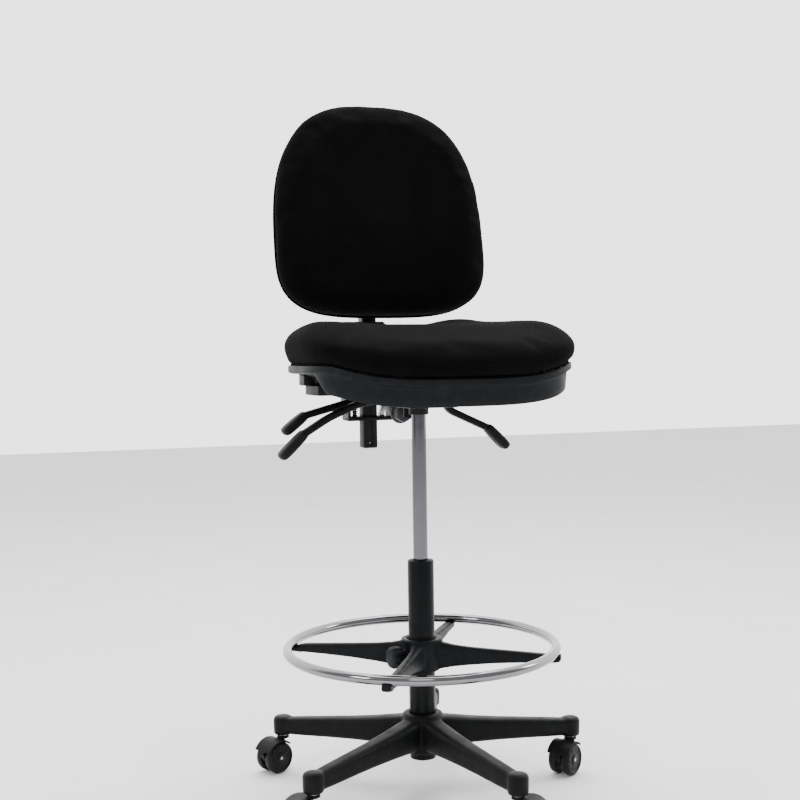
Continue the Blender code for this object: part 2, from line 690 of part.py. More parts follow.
def seat():
    half = Vector((0.105, 0.105))
    plate = box("seat_plate", black_steel, (-half.x, -0.125, PLATE_Z), (half.x, 0.085, PLATE_Z + PLATE_T))
    ear_inner = HOUSING_HALF.x + 0.002
    for side in (-1, 1):
        ear = box(f"seat_ear_{side}", None,
                  (side * ear_inner, SEAT_AXIS.y - 0.014, SEAT_AXIS.z - 0.010),
                  (side * (ear_inner + 0.003), SEAT_AXIS.y + 0.014, PLATE_Z + 0.001))
        combine(plate, ear, "UNION")
    axle_hole = rod("seat_ear_hole", None, SHAFT_R + GAP, (-0.08, SEAT_AXIS.y, SEAT_AXIS.z),
                    (0.08, SEAT_AXIS.y, SEAT_AXIS.z), 20)
    combine(plate, axle_hole, "DIFFERENCE")
    seat_pan_cover()
    board_low = PLATE_Z + PLATE_T + FLOOR_T + 2 * GAP
    count = 48
    outline = []
    for i in range(count):
        angle = 2 * math.pi * i / count
        reach = 0.82 * seat_reach(angle)
        outline.append((reach * math.cos(angle), reach * math.sin(angle)))
    place("seat_board", outline_mesh("seat_board", outline, BOARD_T), lambda name: material(
        name, (0.42, 0.30, 0.17), 0.7), (0, SEAT_CENTRE_Y, board_low + BOARD_T / 2))
    seat_cushion(board_low + BOARD_T + GAP)
    bolt = 0
    for x in (-0.085, 0.085):
        for y in (-0.100, 0.060):
            bolt += 1
            turned(f"seat_bolt_{bolt}", bright_steel, [
                (0.0, PLATE_Z - GAP), (0.0065, PLATE_Z - GAP), (0.0065, PLATE_Z - 0.0045),
                (0.005, PLATE_Z - 0.0055), (0.0, PLATE_Z - 0.0055)], location=(x, y, 0), steps=6)


def seat_top(x, y):
    """Height of the sitting surface: two rear humps, thigh bolsters and a waterfall front."""
    humps = 0.014 * bell((abs(x) - 0.115) / 0.060) * bell((y - 0.080) / 0.080)
    bolsters = 0.010 * bell((abs(x) - 0.200) / 0.050) * bell((y + 0.040) / 0.110)
    waterfall = 0.036 * smoothstep((-0.085 - y) / 0.170)
    return 0.8745 + humps + bolsters - waterfall


def seat_cushion(bottom):
    levels = ((0.985, 0.0), (1.020, 0.20), (1.038, 0.40), (1.028, 0.60), (0.980, 0.82), (0.88, 0.95))
    rings = [Vector((0, SEAT_CENTRE_Y, bottom)), seat_ring(0.87, lambda y: bottom, 36),
             seat_ring(0.975, lambda y: rim_height(y) + 0.0008, 36)]
    for scale, share in levels:
        ring = seat_ring(scale, lambda y: 0.0, 36)
        for point in ring:
            low = rim_height(SEAT_CENTRE_Y + (point.y - SEAT_CENTRE_Y) / scale) + 0.0012
            point.z = low + share * (seat_top(point.x, point.y) - low)
        rings.append(ring)
    for scale in (0.66, 0.42, 0.20):
        ring = seat_ring(scale, lambda y: 0.0, 36)
        for point in ring:
            point.z = seat_top(point.x, point.y)
        rings.append(ring)
    rings.append(Vector((0, SEAT_CENTRE_Y, seat_top(0.0, SEAT_CENTRE_Y))))
    return loft("seat_cushion", fabric, rings, smooth=60)


# Back

def back_point(x, v, depth):
    """A point on the leaning back: x across, v up its plane, depth towards the sitter."""
    up = Vector((0, math.sin(BACK_LEAN), math.cos(BACK_LEAN)))
    front = Vector((0, -math.cos(BACK_LEAN), math.sin(BACK_LEAN)))
    return BACK_BASE + Vector((x, 0, 0)) + up * v + front * depth


def back_reach(angle):
    """Reach from the widest line: rounder above it, squarer below."""
    upper = math.sin(angle) > 0
    power = 2.65 if upper else 3.0
    height = BACK_UPPER if upper else BACK_LOWER
    return (abs(math.cos(angle) / BACK_HALF_WIDTH) ** power
            + abs(math.sin(angle) / height) ** power) ** (-1 / power)


def wrap(x, v):
    """How far the back's sides come forward round the sitter."""
    return 0.016 * (x / BACK_HALF_WIDTH) ** 2


def back_ring(scale, depth, count=36):
    ring = []
    for i in range(count):
        angle = 2 * math.pi * i / count
        reach = scale * back_reach(angle)
        x, v = reach * math.cos(angle), BACK_LOWER + reach * math.sin(angle)
        ring.append(back_point(x, v, depth + wrap(x, v)))
    return ring


def back_layer(name, finish, sections):
    """A closed skin through (scale, depth) sections, from its rear middle to its front middle."""
    rings = [back_point(0, BACK_LOWER, sections[0][1])]
    rings += [back_ring(scale, depth) for scale, depth in sections[1:-1]]
    rings.append(back_point(0, BACK_LOWER, sections[-1][1]))
    return loft(name, finish, rings, smooth=50)


def back():
    back_layer("back_outer_shell", black_plastic, (
        (0, SHELL_REAR), (0.40, SHELL_REAR), (0.70, -0.028), (0.88, -0.020), (0.955, -0.007), (0.965, 0.004),
        (0.950, 0.004), (0.935, -0.006), (0.86, -0.017), (0.66, -0.0245), (0, -0.0265)))
    back_layer("back_inner_board", lambda name: material(name, (0.42, 0.30, 0.17), 0.7), (
        (0, -0.007), (0.40, -0.007), (0.86, -0.007), (0.86, 0.0015), (0.40, 0.0015), (0, 0.0015)))
    back_layer("back_cushion", fabric, (
        (0, 0.0020), (0.40, 0.0020), (0.86, 0.0020), (0.960, 0.0055), (0.992, 0.014), (1.0, 0.026),
        (0.985, 0.038), (0.94, 0.049), (0.84, 0.057), (0.62, 0.061), (0.30, 0.062), (0, 0.062)))
    back_upright()
    upright_cover()


def back_upright():
    """A square bar with a stop hole near its end and a head that carries the shell."""
    rear = BAR_Y + BAR_HALF
    front = BAR_Y - BAR_HALF
    clear_of_shell = SHELL_REAR - GAP
    head = [back_point(0, HEAD_LOW, clear_of_shell), back_point(0, HEAD_HIGH, clear_of_shell),
            back_point(0, HEAD_HIGH, clear_of_shell - HEAD_T)]
    side = [(front, BAR_BOTTOM), (front, BAR_BEND_Z), *((p.y, p.z) for p in head),
            (rear, BAR_BEND_Z + 0.020), (rear, BAR_BOTTOM)]
    mesh = outline_mesh("back_upright", side, 2 * BAR_HALF)
    bar = place("back_upright", mesh, black_steel, rotation=(math.pi / 2, 0, math.pi / 2))
    add_bevel(bar, 0.003, 2)
    stop_hole = rod("stop_hole", None, 0.0035, (0, front - 0.01, BAR_BOTTOM + 0.011),
                    (0, rear + 0.01, BAR_BOTTOM + 0.011), 16)
    combine(bar, stop_hole, "DIFFERENCE")


def upright_cover():
    """A moulded sleeve over the upright under the back, with an ear on each side."""
    clear = BAR_HALF + 0.0008
    cover = box("upright_cover", black_plastic, (-0.034, BAR_Y - 0.021, 0.800),
                (0.034, BAR_Y + 0.021, 0.8945), 0.005)
    ears = box("cover_ears", None, (-0.042, BAR_Y - 0.006, 0.880), (0.042, BAR_Y + 0.006, 0.8905), 0.003)
    combine(cover, ears, "UNION")
    bore = box("cover_bore", None, (-clear, BAR_Y - clear, 0.79), (clear, BAR_Y + clear, 0.91))
    combine(cover, bore, "DIFFERENCE")


def back_carrier():
    """Two cheeks from the tilt shaft back to the guide block that the upright slides in."""
    inner = HOUSING_HALF.x + 0.002
    thickness = 0.004
    outer = inner + thickness
    plate_top = GUIDE_BOTTOM + 0.009
    bridge_low = 0.717
    rear = BAR_Y + GUIDE_HALF.y
    front = BAR_Y - GUIDE_HALF.y
    side = [(0.052, 0.732), (0.052, 0.752), (0.080, 0.755), (0.270, 0.748), (rear, 0.735),
            (rear, bridge_low), (front - 0.012, 0.722), (0.080, 0.731)]
    carrier = box("back_carrier", black_steel, (-GUIDE_HALF.x, front, GUIDE_BOTTOM),
                  (GUIDE_HALF.x, rear, plate_top), 0.003)
    bridge = box("carrier_bridge", None, (-inner - 0.0005, front - 0.012, bridge_low),
                 (inner + 0.0005, rear, 0.7475), 0.002)
    combine(carrier, bridge, "UNION")
    for sign in (-1, 1):
        post = box(f"carrier_post_{sign}", None, (sign * (GUIDE_HALF.x - 0.006), front, GUIDE_BOTTOM + 0.004),
                   (sign * (GUIDE_HALF.x - 0.0005), rear, bridge_low + 0.004))
        combine(carrier, post, "UNION")
        cheek_mesh = outline_mesh(f"carrier_cheek_{sign}", side, thickness)
        cheek = place(f"carrier_cheek_{sign}", cheek_mesh, None,
                      (sign * (inner + outer) / 2, 0, 0), (math.pi / 2, 0, math.pi / 2))
        combine(carrier, cheek, "UNION")
    clear = BAR_HALF + 0.0006
    guide = box("upright_guide", None, (-clear, BAR_Y - clear, GUIDE_BOTTOM - 0.02),
                (clear, BAR_Y + clear, 0.80))
    combine(carrier, guide, "DIFFERENCE")
    shaft_hole = rod("carrier_shaft_hole", None, SHAFT_R + GAP, (-0.08, BACK_AXIS.y, BACK_AXIS.z),
                     (0.08, BACK_AXIS.y, BACK_AXIS.z), 20)
    combine(carrier, shaft_hole, "DIFFERENCE")
    low = plate_top + GAP
    high = bridge_low - GAP
    turned("upright_spring_seat", bright_steel, [
        (0.0062, high), (0.0062, high - 0.0035), (0.0045, high - 0.0045), (0.0045, low + 0.0045),
        (0.0062, low + 0.0035), (0.0062, low), (0.0022, low), (0.0022, high)],
        location=(-0.031, BAR_Y, 0), steps=14)
    cam = [(-0.006, low), (0.003, low), (0.008, high), (-0.001, high)]
    place("upright_lock_cam", outline_mesh("upright_lock_cam", cam, 0.020), bright_steel,
          (0.0295, BAR_Y, 0), (math.pi / 2, 0, 0))


def castors():
    for k in range(ARM_COUNT):
        angle = FIRST_ARM + k * 2 * math.pi / ARM_COUNT
        castor(k + 1, at_angle(CASTOR_REACH, angle), CASTOR_TURNS[k])


five_star_base()
castors()
gas_lift()
foot_ring()
mechanism()
seat()
back_carrier()
back()
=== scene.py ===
"""Looks for the drafting chair: finishes, moulded shapes, upholstery, floor, light and camera."""

import json
import math

import bmesh
import bpy
from mathutils import Matrix, Vector


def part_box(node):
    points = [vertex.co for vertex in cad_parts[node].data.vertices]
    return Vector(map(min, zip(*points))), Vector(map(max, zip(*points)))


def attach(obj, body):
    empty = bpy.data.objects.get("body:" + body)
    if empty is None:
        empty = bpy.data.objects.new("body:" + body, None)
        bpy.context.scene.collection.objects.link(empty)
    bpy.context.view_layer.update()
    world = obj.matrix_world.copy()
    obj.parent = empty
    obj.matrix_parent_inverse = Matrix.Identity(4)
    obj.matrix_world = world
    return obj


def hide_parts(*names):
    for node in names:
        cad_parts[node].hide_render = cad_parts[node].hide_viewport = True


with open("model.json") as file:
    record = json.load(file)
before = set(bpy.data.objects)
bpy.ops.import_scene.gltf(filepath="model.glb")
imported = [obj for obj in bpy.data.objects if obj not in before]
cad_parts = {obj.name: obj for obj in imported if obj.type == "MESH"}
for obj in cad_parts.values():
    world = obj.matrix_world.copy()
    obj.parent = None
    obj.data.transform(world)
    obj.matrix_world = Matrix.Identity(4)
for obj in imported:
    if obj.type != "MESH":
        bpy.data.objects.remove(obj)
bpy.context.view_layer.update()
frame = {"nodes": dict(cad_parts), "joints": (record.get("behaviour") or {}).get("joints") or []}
MM = 0.001


# ---------------------------------------------------------------- places taken from the frame

def centre(node):
    low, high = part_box(node)
    return (Vector(low) + Vector(high)) / 2


def joint(name):
    return next(j for j in frame["joints"] if j["name"] == name)


TUBE_LOW, TUBE_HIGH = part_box("lift_outer_tube")
CYL_LOW, CYL_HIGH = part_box("lift_gas_cylinder")
RING_LOW, RING_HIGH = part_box("footring_ring")
RING_TUBE = (RING_HIGH[2] - RING_LOW[2]) / 2
RING_Z = (RING_HIGH[2] + RING_LOW[2]) / 2
RING_R = (RING_HIGH[0] - RING_LOW[0]) / 2 - RING_TUBE
PAN_LOW, PAN_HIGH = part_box("seat_pan_cover")
SEAT_MID_Y = -0.045
SEAT_HALF_WIDTH = PAN_HIGH[0]
SEAT_FRONT = SEAT_MID_Y - PAN_LOW[1]
SEAT_REAR = PAN_HIGH[1] - SEAT_MID_Y
RIM_Z = PAN_HIGH[2]
LIP = 0.013
REAR_POWER, FRONT_POWER = 2.3, 3.4
FRONT_DIP, FRONT_DIP_LENGTH = 0.026, 0.065
SKIRT_START, SKIRT_BLEND = -0.137, 0.036
SKIRT_BOTTOM, SKIRT_RISE = 0.732, 0.023
ARM_ANGLES = [math.radians(66.6 + 72 * k) for k in range(5)]
SPOKE_ANGLES = [math.radians(-33.5 + 90 * k) for k in range(4)]
KNOB_AXIS = Vector(joint("footring_knob_turn")["axis"])


# ---------------------------------------------------------------- node materials

class Finish:
    """A Principled material with a few helpers for its procedural detail."""

    def __init__(self, name, roughness, metallic=0.0, **sockets):
        self.material = bpy.data.materials.new(name)
        self.material.use_nodes = True
        self.nodes = self.material.node_tree.nodes
        self.links = self.material.node_tree.links
        self.shader = self.nodes["Principled BSDF"]
        self.shader.inputs["Roughness"].default_value = roughness
        self.shader.inputs["Metallic"].default_value = metallic
        for socket, value in sockets.items():
            self.shader.inputs[socket.replace("_", " ")].default_value = value
        self.place = self.nodes.new("ShaderNodeTexCoord").outputs["Object"]

    def add(self, kind, **values):
        node = self.nodes.new(kind)
        for key, value in values.items():
            setattr(node, key, value)
        return node

    def link(self, output, target):
        self.links.new(output, target)

    def noise(self, scale, detail=3.0, roughness=0.55):
        node = self.add("ShaderNodeTexNoise")
        node.inputs["Scale"].default_value = scale
        node.inputs["Detail"].default_value = detail
        node.inputs["Roughness"].default_value = roughness
        self.link(self.place, node.inputs["Vector"])
        return node.outputs["Fac"]

    def bands(self, scale, direction, distortion=0.0):
        node = self.add("ShaderNodeTexWave", wave_type="BANDS", bands_direction=direction)
        node.inputs["Scale"].default_value = scale
        node.inputs["Distortion"].default_value = distortion
        self.link(self.place, node.inputs["Vector"])
        return node.outputs["Fac"]

    def maths(self, operation, first, second):
        node = self.add("ShaderNodeMath", operation=operation)
        for socket, value in zip(node.inputs, (first, second)):
            if isinstance(value, (int, float)):
                socket.default_value = value
            else:
                self.link(value, socket)
        return node.outputs["Value"]

    def span(self, fac, low, high, inner=(0.3, 0.7)):
        node = self.add("ShaderNodeMapRange")
        self.link(fac, node.inputs["Value"])
        node.inputs["From Min"].default_value = inner[0]
        node.inputs["From Max"].default_value = inner[1]
        node.inputs["To Min"].default_value = low
        node.inputs["To Max"].default_value = high
        return node.outputs["Result"]

    def colours(self, fac, stops, target="Base Color"):
        ramp = self.add("ShaderNodeValToRGB")
        elements = ramp.color_ramp.elements
        for i, (position, colour) in enumerate(stops):
            element = elements[i] if i < 2 else elements.new(position)
            element.position = position
            element.color = (*colour, 1.0)
        self.link(fac, ramp.inputs["Fac"])
        self.link(ramp.outputs["Color"], self.shader.inputs[target])

    def bump(self, height, strength, distance, over=None):
        node = self.add("ShaderNodeBump")
        node.inputs["Strength"].default_value = strength
        node.inputs["Distance"].default_value = distance
        self.link(height, node.inputs["Height"])
        if over is not None:
            self.link(over, node.inputs["Normal"])
        self.link(node.outputs["Normal"], self.shader.inputs["Normal"])
        return node.outputs["Normal"]

    def lighter_raised_edges(self, amount, base_stops):
        """Base colour that lightens a little on raised edges."""
        pointiness = self.add("ShaderNodeNewGeometry").outputs["Pointiness"]
        edge = self.span(pointiness, 0.0, amount, (0.52, 0.60))
        mottled = self.maths("ADD", edge, self.span(self.noise(60), 0.0, 0.35))
        self.colours(mottled, base_stops)


def upholstery(name, across):
    """Matt black woven cloth: two sets of fine bands make the weave, noise makes the nap."""
    cloth = Finish(name, 0.95, Sheen_Weight=0.01, Sheen_Roughness=0.5, Specular_IOR_Level=0.03)
    warp = cloth.bands(520.0, "X", 0.4)
    weft = cloth.bands(520.0, across, 0.4)
    weave = cloth.maths("MULTIPLY", warp, weft)
    nap = cloth.noise(900.0, 2.0)
    height = cloth.maths("ADD", weave, cloth.maths("MULTIPLY", nap, 0.5))
    soft = cloth.noise(14.0, 4.0)
    tone = cloth.maths("ADD", cloth.maths("MULTIPLY", soft, 0.7), cloth.maths("MULTIPLY", weave, 0.3))
    cloth.colours(tone, [(0.25, (0.0016, 0.0016, 0.0019)), (0.85, (0.0044, 0.0044, 0.0050))])
    cloth.bump(height, 0.35, 0.35 * MM)
    return cloth.material


def moulded(name, dark, light, roughness=0.5, grain=1400.0, depth=0.10):
    """Moulded plastic: fine spark-eroded grain, faint flow variation and lighter raised edges."""
    plastic = Finish(name, roughness, Specular_IOR_Level=0.09)
    plastic.lighter_raised_edges(0.5, [(0.1, dark), (0.9, light)])
    plastic.link(plastic.span(plastic.noise(35.0, 5.0), roughness - 0.06, roughness + 0.08),
                 plastic.shader.inputs["Roughness"])
    plastic.bump(plastic.noise(grain, 2.0, 0.6), 0.4, depth * MM)
    return plastic.material


def powder_coat(name, dark, light, roughness=0.36):
    """Powder-coated steel with a slight orange peel."""
    paint = Finish(name, roughness, Specular_IOR_Level=0.09, Coat_Weight=0.02, Coat_Roughness=0.25)
    paint.lighter_raised_edges(0.4, [(0.15, dark), (0.95, light)])
    paint.link(paint.span(paint.noise(80.0, 4.0), roughness - 0.05, roughness + 0.07),
               paint.shader.inputs["Roughness"])
    paint.bump(paint.noise(420.0, 1.0), 0.25, 0.12 * MM)
    return paint.material


def plated(name, tint, roughness, smear):
    """Bright plating: clean metal with faint smears in its gloss."""
    metal = Finish(name, roughness, 1.0)
    metal.colours(metal.noise(22.0, 3.0), [(0.3, tuple(c * 0.93 for c in tint)), (0.75, tint)])
    metal.link(metal.span(metal.noise(45.0, 5.0), roughness, roughness + smear),
               metal.shader.inputs["Roughness"])
    metal.bump(metal.noise(700.0, 1.0), 0.03, 0.05 * MM)
    return metal.material


def plywood(name):
    """Birch plywood with growth lines."""
    board = Finish(name, 0.62)
    lines = board.bands(60.0, "X", 6.0)
    board.colours(lines, [(0.2, (0.42, 0.29, 0.17)), (0.8, (0.58, 0.43, 0.27))])
    board.bump(board.noise(500.0, 3.0), 0.2, 0.1 * MM)
    return board.material


def floor_finish():
    floor = Finish("studio_floor", 0.75, Specular_IOR_Level=0.2)
    floor.colours(floor.noise(3.0, 2.0), [(0.3, (0.86, 0.86, 0.86)), (0.7, (0.90, 0.90, 0.90))])
    return floor.material


SEAT_CLOTH = upholstery("seat_cloth", "Y")
BACK_CLOTH = upholstery("back_cloth", "Z")
PAN_PLASTIC = moulded("pan_plastic", (0.0060, 0.0068, 0.0080), (0.0150, 0.0165, 0.0190), 0.44)
SHELL_PLASTIC = moulded("shell_plastic", (0.005, 0.0054, 0.006), (0.012, 0.0130, 0.0145), 0.48)
BASE_PLASTIC = moulded("base_plastic", (0.0050, 0.0054, 0.0060), (0.0130, 0.0140, 0.0155), 0.46)
HUB_PLASTIC = moulded("hub_plastic", (0.0050, 0.0058, 0.0070), (0.0140, 0.0155, 0.0180), 0.44)
KNOB_PLASTIC = moulded("knob_plastic", (0.008, 0.009, 0.0105), (0.020, 0.022, 0.025), 0.5, 900.0)
TENSION_PLASTIC = moulded("tension_plastic", (0.030, 0.031, 0.034), (0.075, 0.078, 0.082), 0.5, 700.0, 0.2)
PADDLE_PLASTIC = moulded("paddle_plastic", (0.0070, 0.0070, 0.0076), (0.020, 0.020, 0.0215), 0.55, 620.0,
                         0.35)
WHEEL_PLASTIC = moulded("wheel_plastic", (0.008, 0.008, 0.009), (0.022, 0.022, 0.024), 0.38)
TUBE_PAINT = powder_coat("tube_paint", (0.0040, 0.0044, 0.0052), (0.0100, 0.0110, 0.0125), 0.34)
STEEL_PAINT = powder_coat("steel_paint", (0.0040, 0.0040, 0.0045), (0.0110, 0.0110, 0.0120), 0.40)
# Both chrome tints are darker than real plating, a painted dark reflection; the cylinder's copy is darker
# again, painted shade.
DARKENED_CHROME = plated("chrome", (0.22, 0.223, 0.232), 0.06, 0.05)
SHADED_CYLINDER_CHROME = plated("shaded_cylinder_chrome", (0.12, 0.123, 0.132), 0.10, 0.06)
ZINC = plated("zinc", (0.42, 0.43, 0.45), 0.26, 0.12)
PLY = plywood("plywood")


# ---------------------------------------------------------------- shape helpers

def add_object(name, mesh, finish, smooth=40):
    obj = bpy.data.objects.new(name, mesh)
    bpy.context.scene.collection.objects.link(obj)
    if finish is not None:
        mesh.materials.clear()
        mesh.materials.append(finish)
    if smooth:
        mesh.shade_smooth()
        mesh.set_sharp_from_angle(angle=math.radians(smooth))
    return obj


def mesh_from(name, build):
    data = bmesh.new()
    build(data)
    bmesh.ops.recalc_face_normals(data, faces=data.faces)
    mesh = bpy.data.meshes.new(name)
    data.to_mesh(mesh)
    data.free()
    return mesh


def skin(data, rings):
    """A closed skin through rings; a single point at either end closes it."""
    rows = [[data.verts.new(p) for p in ring] for ring in rings if len(ring) > 1]
    count = len(rows[0])
    for lower, upper in zip(rows, rows[1:]):
        for k in range(count):
            after = (k + 1) % count
            data.faces.new((lower[k], lower[after], upper[after], upper[k]))
    for row, end in ((rows[0], rings[0]), (rows[-1], rings[-1])):
        if len(end) > 1:
            data.faces.new(row)
        else:
            tip = data.verts.new(end[0])
            for k in range(count):
                data.faces.new((tip, row[(k + 1) % count], row[k]))


def loop_skin(data, rings):
    """A skin through closed rings whose last ring joins the first, as in a ring or sleeve."""
    rows = [[data.verts.new(p) for p in ring] for ring in rings]
    count = len(rows[0])
    for lower, upper in zip(rows, rows[1:] + rows[:1]):
        for k in range(count):
            after = (k + 1) % count
            data.faces.new((lower[k], lower[after], upper[after], upper[k]))


def circle(radius, count):
    """Points round a circle, as (across, up)."""
    return [(radius * math.cos(a), radius * math.sin(a))
            for a in (2 * math.pi * i / count for i in range(count))]


def turned_rings(profile, place, steps):
    """Rings of a turned shape: profile is (radius, height) along the local Z of place."""
    rings = []
    for radius, height in profile:
        if radius < 1e-6:
            rings.append([place @ Vector((0, 0, height))])
            continue
        rings.append([place @ Vector((x, y, height)) for x, y in circle(radius, steps)])
    return rings


def turned(name, finish, profile, place=Matrix.Identity(4), steps=64, smooth=40, closed=False):
    """A turned shape; closed joins the last ring to the first, as in a ring or sleeve."""

    def build(data):
        (loop_skin if closed else skin)(data, turned_rings(profile, place, steps))

    return add_object(name, mesh_from(name, build), finish, smooth)


def rounded(corners, radius, steps=4):
    """The outline of a polygon with its corners rounded."""
    points = []
    vectors = [Vector(c) for c in corners]
    for i, corner in enumerate(vectors):
        before, after = vectors[i - 1], vectors[(i + 1) % len(vectors)]
        reach = min(radius, (before - corner).length * 0.45, (after - corner).length * 0.45)
        start = corner + (before - corner).normalized() * reach
        end = corner + (after - corner).normalized() * reach
        for k in range(steps + 1):
            t = k / steps
            points.append(start * (1 - t) ** 2 + corner * 2 * t * (1 - t) + end * t * t)
    return points


def along_axis(origin, axis):
    """A place whose local Z is the axis."""
    turn = Vector(axis).to_track_quat("Z", "Y").to_matrix().to_4x4()
    return Matrix.Translation(Vector(origin)) @ turn


def spun(angle):
    return Matrix.Rotation(angle, 4, "Z")


def super_radius(angle, half_width, half_height, power):
    """How far a squarish oval reaches in a direction."""
    return (abs(math.cos(angle) / half_width) ** power
            + abs(math.sin(angle) / half_height) ** power) ** (-1 / power)


def oval(half_width, half_height, power, count):
    ring = []
    for i in range(count):
        a = 2 * math.pi * i / count
        r = super_radius(a, half_width, half_height, power)
        ring.append((r * math.cos(a), r * math.sin(a)))
    return ring


def arm_rings(turn, stations, power, count):
    """Sections of a radial arm from stations of (reach, half width, floor, top)."""
    return [[turn @ Vector((reach, y, (floor + top) / 2 + z))
             for y, z in oval(half, (top - floor) / 2, power, count)]
            for reach, half, floor, top in stations]


def fused(name, finish, build, voxel, smoothing):
    """Overlapping closed skins grown into one moulded body with soft inner corners."""
    obj = add_object(name, mesh_from(name, build), finish, 0)
    remesh = obj.modifiers.new("grow_together", "REMESH")
    remesh.mode = "VOXEL"
    remesh.voxel_size = voxel
    soften = obj.modifiers.new("soften", "SMOOTH")
    soften.factor = 0.5
    soften.iterations = smoothing
    apply_modifiers(obj)
    obj.data.materials.clear()
    obj.data.materials.append(finish)
    obj.data.shade_smooth()
    return obj


def apply_modifiers(obj):
    graph = bpy.context.evaluated_depsgraph_get()
    mesh = bpy.data.meshes.new_from_object(obj.evaluated_get(graph))
    old = obj.data
    obj.modifiers.clear()
    obj.data = mesh
    bpy.data.meshes.remove(old)
    mesh.name = obj.name


def round_edges(obj, width, segments, limit, smooth):
    """Rounds the edges sharper than limit degrees, then shades the result."""
    edge = obj.modifiers.new("rounded_edges", "BEVEL")
    edge.width = width
    edge.segments = segments
    edge.limit_method = "ANGLE"
    edge.angle_limit = math.radians(limit)
    apply_modifiers(obj)
    obj.data.shade_smooth()
    obj.data.set_sharp_from_angle(angle=math.radians(smooth))


def refined(node, name, finish, body, bevel, segments):
    """A copy of a CAD node's shape with clean flats and rounded edges, standing for it."""
    data = bmesh.new()
    data.from_mesh(frame["nodes"][node].data)
    bmesh.ops.transform(data, matrix=frame["nodes"][node].matrix_world, verts=data.verts)
    bmesh.ops.remove_doubles(data, verts=data.verts, dist=0.00002)
    bmesh.ops.dissolve_limit(data, angle_limit=math.radians(1.0), verts=data.verts, edges=data.edges)
    mesh = bpy.data.meshes.new(name)
    data.to_mesh(mesh)
    data.free()
    obj = add_object(name, mesh, finish)
    round_edges(obj, bevel, segments, 38, 40)
    return stand_in(obj, body, node)


def stand_in(obj, body, *nodes):
    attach(obj, body)
    if nodes:
        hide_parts(*nodes)
    return obj


def smoothstep(t):
    t = min(1.0, max(0.0, t))
    return t * t * (3 - 2 * t)


def bell(t):
    return math.exp(-t * t)


# ---------------------------------------------------------------- base and castors

def star_base():
    def build(data):
        hub_r, low, high = 0.040, 0.070, 0.142
        skin(data, turned_rings([
            (0.0254, high), (hub_r - 0.008, high), (hub_r - 0.003, high - 0.002), (hub_r, high - 0.007),
            (hub_r + 0.004, low + 0.004), (hub_r + 0.002, low), (0.0254, low), (0.0254, high - 0.0001)],
            Matrix.Identity(4), 72))
        for angle in ARM_ANGLES:
            turn = spun(angle)
            stations = ((0.030, 0.0235, 0.0745, 0.1345), (0.060, 0.0228, 0.0755, 0.1295),
                        (0.100, 0.0208, 0.0762, 0.1235), (0.150, 0.0186, 0.0758, 0.1175),
                        (0.200, 0.0172, 0.0745, 0.1125), (0.250, 0.0164, 0.0725, 0.1075),
                        (0.292, 0.0150, 0.0715, 0.1030))
            skin(data, arm_rings(turn, stations, 4.0, 28))
            socket = turn @ Matrix.Translation((0.300, 0, 0))
            skin(data, turned_rings([(0.0, 0.1065), (0.011, 0.1060), (0.0165, 0.1040), (0.0190, 0.0995),
                                     (0.0185, 0.0740), (0.0172, 0.0697), (0.0, 0.0697)], socket, 40))

    base = fused("star_base", BASE_PLASTIC, build, 0.0021, 5)
    return stand_in(base, "base", "five_star_base")


